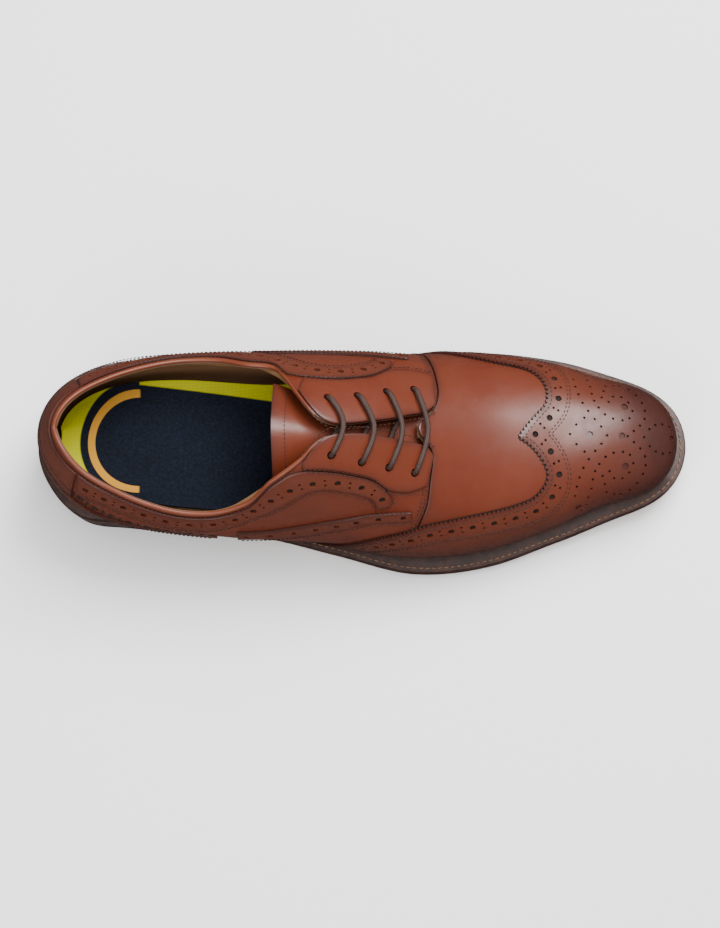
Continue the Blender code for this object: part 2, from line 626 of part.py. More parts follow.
def make_binding():
    """The topline's bound edge: a leather strip folded over lining and quarter, all round the opening."""
    inner, outer = [], []
    for side in (OUTSIDE, INSIDE):
        top, low = topline(side, 0, 200), topline(side, BINDING, 200)
        keep = top[:, 0] < graded(FACING[side])[3, 0]
        inner.append(top[keep])
        outer.append(low[keep])
    top = join(inner[0][::-1], inner[1])
    low = join(outer[0][::-1], outer[1])
    leather("topline_binding", strip_pattern(top, low, 2, 70), (LINING[0], LEATHER[1] + 0.0004), TRIM)


TONGUE_TIP, TONGUE_ROOT = -40.5, 45.0       # drawn places of the tongue's ends
TIP_ROUND = 0.0012
TONGUE_HALF = ((-41.5, 29.5), (-30, 27.5), (-20, 22.5), (-8, 19.5), (15, 17.5), (45, 20))
TONGUE_DROP = ((-60, .0018), (-40, .0018), (-28, .0040), (18, .0040), (34, .0022), (46, .0014))      # how far it lies under the last


def tongue_pattern(rows, columns):
    """Rows across the tongue from its rounded tip to its root, either side of the ridge."""
    lines = []
    round_tip = TIP_ROUND * np.cos(np.linspace(-1.4, 1.4, columns))
    for x in np.linspace(TONGUE_TIP, TONGUE_ROOT, rows):
        half = spline(TONGUE_HALF, x)
        plan = graded(np.stack([np.full(columns, x), np.linspace(-half, half, columns)], -1))
        middle = ridge_at(plan[0, 0])
        plan[:, 1] += middle
        if x < TONGUE_TIP + 20:
            plan[:, 0] -= round_tip
        lines.append([PATTERN[INSIDE if y > middle else OUTSIDE].from_plan(x, y) for x, y in plan])
    return np.array(lines)


def turn_about(body, place):
    """Puts a body's origin on its joint's axis, and leaves the body where it is."""
    body.data.transform(Matrix.Translation(-Vector(place)))
    body.location = place


def make_tongue():
    flat = tongue_pattern(14, 9)
    place = flat[..., 0] * STANDARD[0] / LENGTH
    drop = np.maximum(spline(TONGUE_DROP, place), .0014)
    skin, lining = 0.0011, 0.0007
    tongue = loft("tongue", lasted(flat, -drop - skin), lasted(flat, -drop), COGNAC, 0.5)
    inner = flat[1:, 1:-1]
    under = -drop[1:, 1:-1] - skin - 0.0004
    soft = loft("tongue_lining", lasted(inner, under - lining), lasted(inner, under), LINING_TAN, 0.7)
    root = lasted(flat[-1:, 4], np.array([-TONGUE_DROP[-1][1]]))[0]
    for body in (tongue, soft):
        turn_about(body, (root[0], root[1], root[2]))


def plate(name, outline, low, high, colour, roughness=0.6, metallic=0.0, start=0.0, end=1.0, stations=26,
          across=5):
    """Flat piece of the bottom. outline(side, turn) gives its plan, low(x, v) and high(x, v) its faces."""
    turns = np.linspace(start, end, stations)
    left, right = outline(OUTSIDE, turns), outline(INSIDE, turns)
    v = np.linspace(-1, 1, across)[None, :]
    x = left[0][:, None] * (1 - v) / 2 + right[0][:, None] * (1 + v) / 2
    y = left[1][:, None] * (1 - v) / 2 + right[1][:, None] * (1 + v) / 2
    bottom = np.stack([x, y, low(x, v + 0 * x)], -1)
    top = np.stack([x, y, high(x, v + 0 * x)], -1)
    return loft(name, bottom, top, colour, roughness, metallic)


def feather_outline(inset):
    """Plan of the last's bottom edge, set in."""
    def outline(side, turn):
        foot = last_point(side, turn, np.full(np.shape(turn), -UNDERCUT))
        _, _, out_x, out_y = widest(side, turn)
        return foot[..., 0] - out_x * inset, foot[..., 1] - out_y * inset
    return outline


BOARD_THICK = 0.0021
WELT_END = {OUTSIDE: .30, INSIDE: .34}
HEEL_LIFTS, TOP_PIECE = 3, 0.0060


def under(depth):
    """A face of the bottom at a depth below the seat of the upper."""
    return lambda x, v: seat_z(x) - depth


def ring(name, start, end, colour, stations, low, high):
    """Strip round part of the sole's edge, from one share of the length to another, by the toe or the heel."""
    turns = {side: np.arccos(1 - 2 * np.linspace(start[side], end, 400)) / math.pi for side in start}
    lines = []
    for outline in (lambda side, t: sole_outline(side, t), feather_outline(0.0012)):
        halves = [np.stack(outline(side, turns[side]), -1) for side in (OUTSIDE, INSIDE)]
        halves = [resample(half, stations) for half in halves]
        lines.append(join(halves[0], halves[1][::-1][1:]))
    plan = between(lines[0], lines[1], 3)
    x, y = plan[..., 0], plan[..., 1]
    bottom = np.stack([x, y, low(x, 0)], -1)
    top = np.stack([x, y, high(x, 0)], -1)
    return loft(name, bottom, top, colour, 0.6)


def make_bottom():
    plate("insole_board", feather_outline(0.0003), under(BOARD_THICK + GAP), under(GAP), BOARD, 0.8)
    ring("welt", WELT_END, 1.0, SOLE_BROWN, 20, under(WELT + FOLD + GAP), under(FOLD + GAP))
    rand = {OUTSIDE: WELT_END[OUTSIDE] - 0.004, INSIDE: WELT_END[INSIDE] - 0.004}
    ring("heel_rand", rand, 0.0, SOLE_BROWN, 12, under(WELT + FOLD + GAP), under(FOLD + GAP))
    plate("outsole", sole_outline, under(OUTSOLE + WELT + FOLD + 3 * GAP), under(WELT + FOLD + 3 * GAP), SOLE_BROWN,
          stations=34)
    breast = turn_at(-LENGTH / 2 + HEEL_LENGTH, -LENGTH / 2, LENGTH)
    lift = (HEEL_HEIGHT * 0.9 - TOP_PIECE) / HEEL_LIFTS
    levels = [TOP_PIECE + GAP + i * lift for i in range(HEEL_LIFTS)] + [None]
    plate("top_piece", sole_outline, lambda x, v: 0 * x, lambda x, v: 0 * x + TOP_PIECE, RUBBER, 0.7, end=breast,
          stations=14, across=3)
    for i, (low, high) in enumerate(zip(levels, levels[1:])):
        top = under(OUTSOLE + WELT + FOLD + 4 * GAP) if high is None else (lambda x, v, h=high: 0 * x + h - GAP)
        plate(f"heel_lift_{i + 1}", sole_outline, lambda x, v, b=low: 0 * x + b, top, SOLE_BROWN, 0.6, end=breast,
              stations=14, across=3)
    cavity = FOLD + WELT
    plate("cork_filler", feather_outline(0.006), under(cavity), under(BOARD_THICK + 3 * GAP), CORK, 0.9,
          start=turn_at(0.018), end=turn_at(0.118), stations=12, across=3)
    shank_from, shank_to, shank_half = graded((-92, 0))[0], graded((10, 0))[0], 0.0065
    x = np.linspace(shank_from, shank_to, 12)[:, None] + np.zeros((1, 3))
    y = axis_y(0.3) + shank_half * np.array([-1, 0, 1])[None] + 0 * x
    bow = seat_z(x) - BOARD_THICK - 4 * GAP
    loft("shank", np.stack([x, y, bow - 0.0012], -1), np.stack([x, y, bow], -1), STEEL, 0.35, 1.0)


CUP = ((0, .0095), (.10, .0090), (.30, .0085), (.48, .0050), (.60, .0016), (.75, .0006), (1, .0004))


def make_footbed():
    """Moulded footbed: a cupped plate whose rim rises round the heel and the arch."""
    turns = np.linspace(0.035, 0.965, 22)
    v = np.linspace(-1, 1, 9)
    left, right = feather_outline(0.0011)(OUTSIDE, turns), feather_outline(0.0011)(INSIDE, turns)
    x = left[0][:, None] * (1 - v) / 2 + right[0][:, None] * (1 + v) / 2
    y = left[1][:, None] * (1 - v) / 2 + right[1][:, None] * (1 + v) / 2
    f = (x - HEEL_X) / UPPER
    rim = spline(CUP, np.clip(f, 0, 1)) * np.maximum(np.abs(v)[None, :], np.clip(1 - f / .07, 0, 1)) ** 4
    floor = seat_z(x) + 0.0004 + rim
    loft("footbed", np.stack([x, y, floor], -1), np.stack([x, y, floor + FOOTBED], -1), WOVEN, 0.8)


EYELETS = {
    OUTSIDE: ((-14.5, -13.4), (-0.9, -15.2), (11.4, -16.4), (23.2, -17.6)),
    INSIDE: ((-16, 13.8), (-2.6, 15.8), (10.5, 19.2), (23, 21.8)),
}
HOLE = {"quarter": 0.0041, "quarter_lining": 0.0041, "eyelet_tab": 0.0039}
HOLE_SHIFT = 0.0007      # the holes sit this far towards the gap from the lace's turn
OVER, MID, BELOW = 0.0079, 0.0028, -0.0023       # heights of the lace off the last: bars, holes and crossings
TURN = (OVER - BELOW) / 2                        # bend of the lace at an eyelet
QUARTER_TURN = np.radians([0, 30, 60, 90])
BOW = 0.0045                                     # how far each bar bows to the toe


def eyelet_flat(side, number):
    return PATTERN[side].from_plan(*graded(EYELETS[side][number]))


def put_in(collection, body):
    for home in list(body.users_collection):
        home.objects.unlink(body)
    collection.objects.link(body)


def punch(side, word):
    """Lace holes through the quarter, its lining and the eyelet tab, and a ring round each in the quarter."""
    for number in range(len(EYELETS[side])):
        flat = eyelet_flat(side, number) - [0, side * HOLE_SHIFT]
        foot, top = lasted(np.array([flat, flat]), np.array([-0.002, 0.009]))
        middle = Vector((foot + top) / 2)
        way = Vector(top - foot).to_track_quat("Z", "Y").to_euler()
        for piece, radius in HOLE.items():
            bpy.ops.mesh.primitive_cylinder_add(vertices=12, radius=radius, depth=0.011, location=middle, rotation=way)
            cutter = bpy.context.object
            cutter.name = f"cut_{piece}_{word}_{number + 1}"
            put_in(CUTTERS, cutter)
            cutter.hide_render = True
            cutter.display_type = "WIRE"
            hole = bpy.data.objects[f"{piece}_{word}"].modifiers.new(cutter.name, "BOOLEAN")
            hole.operation = "DIFFERENCE"
            hole.object = cutter
        seat = lasted(flat[None], np.array([sum(LEATHER) / 2]))[0]
        bpy.ops.mesh.primitive_torus_add(major_radius=0.0028, minor_radius=0.0005, major_segments=12,
                                         minor_segments=4, location=Vector(seat), rotation=way)
        ring_body = bpy.context.object
        ring_body.name = f"eyelet_{word}_{number + 1}"
        put_in(SHOE, ring_body)
        ring_body.data.materials.append(finish(ring_body.name, STEEL, 0.4, 1.0))


def lace_run(start, end, height, bow):
    """Points of the lace from the middle of one eyelet hole to the middle of the next, with round turns."""
    along = end - start
    near = TURN * (1 - np.cos(QUARTER_TURN)) / np.hypot(*along)
    rise = MID + (height - MID) * np.sin(QUARTER_TURN)
    places = join(near, [0.34, 0.5, 0.66], 1 - near[::-1])
    heights = join(rise, [height] * 3, rise[::-1])
    flat = np.array([start + along * p + np.array([bow * math.sin(math.pi * p) ** 2, 0]) for p in places])
    return lasted(flat, heights)


# The lace's two ends, tucked inside: drawn place and height over the footbed, in millimetres.
TAILS = (
    ((28, -26.5, 38), (31, -28.5, 31), (34.5, -29.8, 24.5), (38.5, -30.5, 19), (45.5, -30, 12), (54, -27.5, 5.5),
     (63, -23, 2), (71, -16.5, 1.8), (76.5, -8, 1.8), (78, 1.5, 1.8), (74.5, 10.5, 1.8), (67, 16.5, 1.8),
     (57.5, 19, 1.8), (47.5, 18.5, 1.8)),
    ((-14.5, 22, 51), (-12.5, 26, 44.5), (-9.5, 29, 37.5), (-5, 31, 30.5), (1, 32, 23.5), (8, 32, 16.5), (16, 30.5, 10),
     (24, 27.5, 4.6), (30, 22, 2), (33, 14, 1.9), (32, 5, 1.9), (27, -3, 1.9), (19, -8, 1.9), (9.5, -10, 1.9)),
)
AGLET_LENGTH = 0.019


def tail_points(tail):
    rows = np.array(tail, float)
    plan = graded(rows[:, :2])
    floor = seat_z(plan[:, 0]) + 0.0004 + FOOTBED
    return np.column_stack([plan, floor + rows[:, 2] * 0.001])


def lace_route():
    """Whole route: one end, up through the outside eyelet nearest the toe, and back eyelet by eyelet."""
    flat = {side: [eyelet_flat(side, n) for n in range(4)] for side in (OUTSIDE, INSIDE)}
    runs = []
    for n in (3, 2, 1, 0):
        runs.append(lace_run(flat[OUTSIDE][n], flat[INSIDE][n], OVER, BOW))
        if n:
            runs.append(lace_run(flat[INSIDE][n], flat[OUTSIDE][n - 1], BELOW, 0))
    laced = join(runs[0], *[run[1:] for run in runs[1:]])
    ends = []
    for tail, side, n, out in zip(TAILS, (OUTSIDE, INSIDE), (3, 0), ((0.05, -1), (0.1, 1))):
        step = np.array(out) * TURN
        turned = 1 - np.cos(QUARTER_TURN[1:, None])
        under = lasted(flat[side][n] + step * turned, MID - TURN * np.sin(QUARTER_TURN[1:]))
        ends.append(join(under, tail_points(tail)))
    return join(ends[0][::-1], laced, ends[1])


def tube(name, points, radius, colour, resolution=2):
    """A round cord or tip along points."""
    line = bpy.data.curves.new(name, "CURVE")
    line.dimensions = "3D"
    line.bevel_depth = radius
    line.bevel_resolution = resolution
    line.use_fill_caps = True
    path = line.splines.new("POLY")
    path.points.add(len(points) - 1)
    for knot, place in zip(path.points, points):
        knot.co = (*place, 1)
    body = bpy.data.objects.new(name, line)
    SHOE.objects.link(body)
    line.materials.append(finish(name, colour, 0.7))
    return body


def make_lace():
    route = lace_route()
    fine = curve(route, 2400)
    length = np.linalg.norm(np.diff(fine, axis=0), axis=1).sum()
    skip = int(round((AGLET_LENGTH + GAP) / length * len(fine)))
    gap = int(math.ceil(2 * GAP / length * len(fine)))
    place = np.concatenate([[0], np.cumsum(np.linalg.norm(np.diff(route, axis=0), axis=1))])
    kept = route[(place > AGLET_LENGTH + LACE) & (place < place[-1] - AGLET_LENGTH - LACE)]
    tube("lace", join(fine[skip:skip + 1], kept, fine[-skip:][:1]), LACE / 2, LACE_BROWN)
    for name, end in (("aglet_1", fine[:skip - gap]), ("aglet_2", fine[-skip + gap:])):
        tube(name, resample(end, 5), LACE / 2, RUBBER)


make_uppers()
make_binding()
make_tongue()
make_bottom()
make_footbed()
punch(OUTSIDE, "outside")
punch(INSIDE, "inside")
make_lace()
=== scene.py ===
"""Looks of a men's leather derby shoe, right foot: uppers, trim, laces, welted sole and footbed.

Frame: metres, +X to the toe, -Y to the outside of the foot, +Z up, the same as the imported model's.
"""
import math

import bmesh
import bpy
import numpy as np
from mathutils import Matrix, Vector


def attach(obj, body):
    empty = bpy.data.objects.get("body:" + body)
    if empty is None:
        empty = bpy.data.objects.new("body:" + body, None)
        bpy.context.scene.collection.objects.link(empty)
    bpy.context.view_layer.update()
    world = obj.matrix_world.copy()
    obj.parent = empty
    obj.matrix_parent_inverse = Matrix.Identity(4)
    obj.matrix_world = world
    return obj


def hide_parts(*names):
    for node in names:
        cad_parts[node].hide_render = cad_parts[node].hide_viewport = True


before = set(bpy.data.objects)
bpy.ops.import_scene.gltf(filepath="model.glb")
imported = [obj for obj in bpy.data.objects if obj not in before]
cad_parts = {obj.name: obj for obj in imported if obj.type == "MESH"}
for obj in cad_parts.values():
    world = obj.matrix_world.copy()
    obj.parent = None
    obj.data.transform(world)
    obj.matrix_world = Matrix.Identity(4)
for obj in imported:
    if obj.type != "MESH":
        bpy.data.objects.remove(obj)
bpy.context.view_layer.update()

# Camera, floor and light.
# The shoe lies on a plain pale floor and is seen almost from straight above, a little from its outside.
# A wide soft lamp stands over the toe, a second one fills from the outside, and the room is bright.
ELEVATION, DISTANCE, FIELD = math.radians(80), 1.5, 0.3389
AIM = Vector((-0.0014, -0.0045, 0.025))
bpy.ops.object.camera_add(rotation=(math.pi / 2 - ELEVATION, 0, 0))
camera = bpy.context.object
camera.location = AIM + DISTANCE * Vector((0, -math.cos(ELEVATION), math.sin(ELEVATION)))
camera.data.sensor_fit = "HORIZONTAL"
camera.data.sensor_width = 36
camera.data.lens = 36 * DISTANCE / FIELD
camera.data.clip_start = 0.05
bpy.context.scene.camera = camera

bpy.ops.mesh.primitive_plane_add(size=6)
floor = bpy.context.object
floor.name = "floor"
paper = bpy.data.materials.new("floor_paper")
paper.use_nodes = True
paper.node_tree.nodes["Principled BSDF"].inputs["Base Color"].default_value = (0.96, 0.96, 0.96, 1)
paper.node_tree.nodes["Principled BSDF"].inputs["Roughness"].default_value = 0.9
floor.data.materials.append(paper)

room = bpy.data.worlds.new("room")
bpy.context.scene.world = room
room.use_nodes = True
sky = room.node_tree.nodes
direction = sky.new("ShaderNodeTexCoord")
height = sky.new("ShaderNodeSeparateXYZ")
overhead = sky.new("ShaderNodeMapRange")
overhead.inputs["From Min"].default_value, overhead.inputs["From Max"].default_value = -0.05, 0.9
overhead.inputs["To Min"].default_value, overhead.inputs["To Max"].default_value = 0.12, 1.0
room.node_tree.links.new(direction.outputs["Generated"], height.inputs["Vector"])
room.node_tree.links.new(height.outputs["Z"], overhead.inputs["Value"])
room.node_tree.links.new(overhead.outputs["Result"], sky["Background"].inputs["Color"])
floor.visible_glossy = False
room.node_tree.nodes["Background"].inputs["Strength"].default_value = 0.75
for name, place, size, power in (("lamp_toe", (0.35, 0.55, 1.1), 0.7, 30), ("lamp_side", (-0.5, -0.9, 0.9), 0.9, 11),
                                 ("lamp_top", (0.05, 0.1, 1.4), 0.9, 12)):
    bpy.ops.object.light_add(type="AREA", location=place)
    lamp = bpy.context.object
    lamp.name = name
    lamp.data.size = size
    lamp.data.energy = power
    lamp.rotation_euler = (Vector((0, 0, 0.04)) - Vector(place)).to_track_quat("-Z", "Y").to_euler()

# The last.
# The form that the whole shoe is built on, as one formula: a ridge line, the widest line and the bottom
# edge, with a full curve between them. The same sizes and the same formula as the model's.
LENGTH = 0.305           # over the sole, heel to toe
BALL_WIDTH = 0.1062      # over the welt at the ball
HEEL_HEIGHT = 0.0220     # stacked heel, ground to outsole
OUTSOLE = 0.0046         # outsole thickness
WELT = 0.0030            # welt thickness
FOLD = 0.0046            # depth of the upper's edge, folded under the insole
WELT_EDGE = 0.0048       # welt standing out past the upper
TOE_SPRING = 0.0110      # lift of the toe off the ground
BACK_HEIGHT = 0.0830     # ground to topline at the back of the heel
ANKLE_HEIGHT = 0.0690    # ground to topline under the ankle
INSTEP_HEIGHT = 0.0985   # ground to the top of the facings
TOE_HEIGHT = 0.0445      # ground to the top of the toe box
HEEL_LENGTH = 0.0720     # heel block, back to breast
LACE = 0.0025            # lace diameter
FOOTBED = 0.0040         # footbed thickness

# Layers of the upper, as heights off the last.
OVERLAY = (0.0049, 0.0059)
GAP = 0.0003             # clearance between touching pieces

UPPER_BACK = 0.0015      # upper set in from the back of the sole
HEEL_X = -LENGTH / 2 + UPPER_BACK + OVERLAY[1]
TOE_X = LENGTH / 2 - WELT_EDGE - OVERLAY[1]
UPPER = TOE_X - HEEL_X
OUTSIDE, INSIDE = -1.0, 1.0      # sides of the shoe, as signs of Y

# Shape of the last. Each row is (share of the length, value); widths are shares of the ball width.
AXIS_HEEL, AXIS_TOE = 0.0285, 0.0450
HALF_WIDTH = {
    OUTSIDE: ((.05, .243), (.12, .328), (.22, .376), (.34, .396), (.46, .403), (.58, .444), (.70, .417),
              (.81, .322), (.91, .215)),
    INSIDE: ((.05, .218), (.12, .290), (.22, .322), (.34, .345), (.46, .359), (.58, .367), (.70, .363),
             (.81, .318), (.91, .232)),
}
FEATHER_INSET = {
    OUTSIDE: ((0, .030), (.05, .040), (.12, .057), (.22, .067), (.34, .070), (.46, .041), (.58, .028), (1, .028)),
    INSIDE: ((0, .030), (.22, .050), (.34, .080), (.46, .064), (.58, .036), (.70, .028), (1, .028)),
}
SOLE_HALF = {
    OUTSIDE: ((.05, .280), (.12, .335), (.22, .363), (.34, .391), (.46, .465), (.58, .543), (.70, .509),
              (.81, .399), (.91, .289)),
    INSIDE: ((.05, .272), (.12, .326), (.22, .328), (.34, .325), (.46, .373), (.58, .450), (.70, .453),
             (.81, .406), (.91, .309)),
}
LAST_RADIUS, SOLE_RADIUS = 0.225, 0.29       # plan radius of heel and toe, as shares of the ball width
HEEL_RISE = ((0, 1), (.12, 1), (.22, .93), (.34, .62), (.46, .26), (.58, .04), (.66, 0), (.8, 0), (1, 0))
TOE_RISE = ((0, 0), (.5, 0), (.62, 0), (.72, .05), (.81, .20), (.91, .53), (1, 1))
BULGE = ((0, .0170), (.12, .0170), (.22, .0155), (.34, .0140), (.46, .0130), (.58, .0120), (.70, .0105),
         (.81, .0095), (.91, .0085), (1, .0080))
FULLNESS = ((0, 1.50), (.06, 1.42), (.12, 1.45), (.22, 1.62), (.34, 1.66), (.46, 1.76), (.58, 1.93), (.70, 2.10),
            (.81, 2.25), (.91, 2.35), (1, 2.30))
RIDGE = ((0, 1.03), (.12, 1.01), (.22, 1.03), (.34, 1.04), (.42, .99), (.50, .805), (.60, .49), (.70, .24),
         (.80, .09), (.90, 0), (1, -.14))
RIDGE_SWAY = ((0, .005), (.34, -.015), (.46, -.022), (.52, 0), (.60, .016), (.75, .018), (.88, .028), (1, .045))
HEEL_FAN, HEEL_FAN_START = 0.0220, 0.20      # how far the profile lines gather in from the ends, and from where
TOE_FAN, TOE_FAN_START = 0.0260, 0.79
UNDERCUT = math.radians(70)                  # turn of the last's wall below its widest line


def spline(rows, x):
    """Smooth curve through (place, value) rows."""
    xs, ys = np.array(rows, float).T
    x = np.asarray(x, float)
    step = np.diff(xs)
    slope = np.diff(ys) / step
    tangent = np.empty_like(ys)
    tangent[1:-1] = (slope[:-1] * step[1:] + slope[1:] * step[:-1]) / (step[1:] + step[:-1])
    tangent[0] = 2 * slope[0] - tangent[1]
    tangent[-1] = 2 * slope[-1] - tangent[-2]
    i = np.clip(np.searchsorted(xs, x, side="right") - 1, 0, len(xs) - 2)
    t = (x - xs[i]) / step[i]
    return (ys[i] * (1 + 2 * t) * (1 - t) ** 2 + ys[i + 1] * t * t * (3 - 2 * t)
            + step[i] * t * (1 - t) * (tangent[i] * (1 - t) - tangent[i + 1] * t))


def share(turn):
    """Share of the length at a turn, which goes 0 to 1 from heel to toe with its points close at the ends."""
    return (1 - np.cos(np.pi * np.asarray(turn, float))) / 2


def turn_at(x, back=HEEL_X, length=UPPER):
    """Turn at a place along X."""
    return float(np.arccos(1 - 2 * np.clip((x - back) / length, 0, 1)) / np.pi)


def round_half(rows, turn, length, radius):
    """Half width of an outline with round ends."""
    f = share(turn)
    rows = np.array(rows, float)
    end = math.sqrt(radius * BALL_WIDTH * length / 2)
    full = rows[:, 1] * BALL_WIDTH / (2 * np.sqrt(rows[:, 0] * (1 - rows[:, 0])))
    table = [(0, end), *zip(rows[:, 0], full), (1, end)]
    return np.sin(np.pi * np.asarray(turn, float)) * spline(table, f)


def axis_y(f):
    return BALL_WIDTH * (AXIS_HEEL + (AXIS_TOE - AXIS_HEEL) * f)


def widest(side, turn):
    """Plan outline of the last at its widest line, and the outline's outward direction."""
    def at(t):
        f = share(t)
        return HEEL_X + UPPER * f, axis_y(f) + side * round_half(HALF_WIDTH[side], t, UPPER, LAST_RADIUS)
    x, y = at(turn)
    ahead, behind = at(turn + 1e-4), at(turn - 1e-4)
    run = np.stack([ahead[0] - behind[0], ahead[1] - behind[1]])
    run /= np.hypot(*run)
    return x, y, -side * run[1], side * run[0]


def sole_outline(side, turn, inset=0.0):
    """Plan outline of the sole and welt."""
    f = share(turn)
    length = LENGTH - 2 * inset
    x = -LENGTH / 2 + inset + length * f
    half = round_half(SOLE_HALF[side], turn, LENGTH, SOLE_RADIUS)
    return x, axis_y(f) + side * half * (1 - 2 * inset / (0.8 * BALL_WIDTH))


def seat_z(x):
    """Height of the last's bottom, where the upper meets the sole."""
    f = np.clip((np.asarray(x, float) - HEEL_X) / UPPER, -0.02, 1.02)
    stack = OUTSOLE + WELT + FOLD + 3 * GAP
    return stack + HEEL_HEIGHT * spline(HEEL_RISE, f) + TOE_SPRING * spline(TOE_RISE, f)


def ridge_z(x):
    f = np.clip((x - HEEL_X) / UPPER, 0, 1)
    return TOE_HEIGHT + (INSTEP_HEIGHT - TOE_HEIGHT) * spline(RIDGE, f)


def ridge_xy(turn):
    """Where a profile line starts, on the centre line over the foot."""
    f = share(turn)
    heel = HEEL_FAN * np.clip(1 - f / HEEL_FAN_START, 0, 1) ** 2
    toe = TOE_FAN * np.clip((f - TOE_FAN_START) / (1 - TOE_FAN_START), 0, 1) ** 2
    x = HEEL_X + UPPER * f + heel - toe
    return x, BALL_WIDTH * spline(RIDGE_SWAY, f)


def last_point(side, turn, lean):
    """Point of the last. lean runs from 90 degrees at the ridge, by 0 at the widest line, to -UNDERCUT."""
    turn, lean = np.broadcast_arrays(np.asarray(turn, float), np.asarray(lean, float))
    f = share(turn)
    edge_x, edge_y, out_x, out_y = widest(side, turn)
    top_x, top_y = ridge_xy(turn)
    bulge_z = seat_z(edge_x) + spline(BULGE, f)
    power = spline(FULLNESS, f)
    up = np.maximum(lean, 0)
    size = (np.abs(np.cos(up)) ** power + np.abs(np.sin(up)) ** power) ** (1 / power)
    across, rise = np.cos(up) / size, np.sin(up) / size
    x = top_x + (edge_x - top_x) * across
    y = top_y + (edge_y - top_y) * across
    z = bulge_z + (ridge_z(x) - bulge_z) * rise
    down = np.maximum(-lean, 0)
    inset = BALL_WIDTH * spline(FEATHER_INSET[side], f) * (1 - np.cos(down)) / (1 - math.cos(UNDERCUT))
    drop = spline(BULGE, f) * np.sin(down) / math.sin(UNDERCUT)
    return np.stack([x - out_x * inset, y - out_y * inset, z - drop], -1)


class Pattern:
    """The last's surface laid out flat: plan view, with the walls folded outwards at their true height."""

    TURNS = np.linspace(0, 1, 161)
    LEANS = np.radians(np.linspace(90, -math.degrees(UNDERCUT), 97))

    def __init__(self, side):
        self.side = side
        grid = last_point(side, self.TURNS[:, None], self.LEANS[None, :])
        steps = np.linalg.norm(np.diff(grid, axis=1), axis=2)
        self.length = np.concatenate([np.zeros((len(self.TURNS), 1)), np.cumsum(steps, axis=1)], axis=1)
        self.girth = self.length[:, -1]
        self.shares = np.linspace(0, 1, 97)
        self.lean = np.array([np.interp(self.shares * row[-1], row, self.LEANS) for row in self.length])
        self.fine = np.linspace(0, 1, 2001)
        edge_x, edge_y, _, _ = widest(side, self.fine)
        self.top = np.stack(ridge_xy(self.fine))
        run = np.stack([edge_x, edge_y]) - self.top
        self.reach = np.hypot(*run)
        self.run = run / self.reach

    def line(self, turn):
        """Start and direction of the profile lines at these turns."""
        start = [np.interp(turn, self.fine, row) for row in self.top]
        run = [np.interp(turn, self.fine, row) for row in self.run]
        return start[0], start[1], run[0], run[1]

    def find(self, x, y):
        """Turn, and distance from the ridge, of flat points."""
        low, high = np.zeros_like(x), np.ones_like(x)
        for _ in range(32):
            turn = (low + high) / 2
            sx, sy, rx, ry = self.line(turn)
            past = self.side * (rx * (y - sy) - ry * (x - sx)) > 0
            high = np.where(past, turn, high)
            low = np.where(past, low, turn)
        sx, sy, rx, ry = self.line(turn)
        return turn, rx * (x - sx) + ry * (y - sy)

    def flat(self, turn, distance):
        sx, sy, rx, ry = self.line(turn)
        return np.stack([sx + rx * distance, sy + ry * distance], -1)

    def table(self, table, turn, column):
        """Value in a table by turn and column number."""
        a = np.clip(turn * (len(self.TURNS) - 1), 0, len(self.TURNS) - 1.000001)
        b = np.clip(column, 0, table.shape[1] - 1.000001)
        i, j = a.astype(int), b.astype(int)
        a, b = a - i, b - j
        return ((1 - a) * ((1 - b) * table[i, j] + b * table[i, j + 1])
                + a * ((1 - b) * table[i + 1, j] + b * table[i + 1, j + 1]))

    def solid(self, x, y):
        """Flat points onto the last."""
        turn, distance = self.find(x, y)
        part = distance / np.interp(turn, self.TURNS, self.girth)
        lean = self.table(self.lean, turn, part * 96)
        lean = lean - np.maximum(part - 1, 0) * 2.0
        return last_point(self.side, turn, lean)

    def distance(self, turn, lean):
        column = (math.pi / 2 - lean) / (math.pi / 2 + UNDERCUT) * 96
        return self.table(self.length, np.asarray(turn, float), column)

    def from_plan(self, x, y, height=0.0045):
        """Flat points whose places, raised by a height, are seen at x, y from above."""
        goal = np.stack([np.atleast_1d(x), np.atleast_1d(y)], -1).astype(float)
        middle = axis_y(0.5)
        aim = goal * [1, 0.88] + [0, 0.12 * middle]
        for _ in range(12):
            flat = self.under_plan(aim[:, 0], aim[:, 1])
            aim = aim + 0.7 * (goal - lasted(flat, np.full(len(flat), height))[:, :2])
        return flat[0] if np.ndim(x) == 0 else flat

    def under_plan(self, x, y):
        """Flat points of places on the bare last, seen from above."""
        turn, far = self.find(x, y)
        across = np.clip(far / np.interp(turn, self.fine, self.reach), 0, 1)
        power = spline(FULLNESS, share(turn))
        rise = (1 - across ** power) ** (1 / power)
        return self.flat(turn, self.distance(turn, np.arctan2(rise, across)))

    def from_height(self, turn, z):
        """Flat point at a height over the ground."""
        turn, z = np.broadcast_arrays(np.asarray(turn, float), np.asarray(z, float))
        low, high = np.full(turn.shape, -UNDERCUT), np.full(turn.shape, math.pi / 2)
        for _ in range(32):
            lean = (low + high) / 2
            above = last_point(self.side, turn, lean)[..., 2] > z
            high = np.where(above, lean, high)
            low = np.where(above, low, lean)
        return self.flat(turn, self.distance(turn, lean))

    def feather(self, turn, up=0.0):
        """Flat points of the line where the upper meets the sole, or a little up the wall from it."""
        turn = np.asarray(turn, float)
        return self.flat(turn, np.interp(turn, self.TURNS, self.girth) - up)


PATTERN = {side: Pattern(side) for side in (OUTSIDE, INSIDE)}


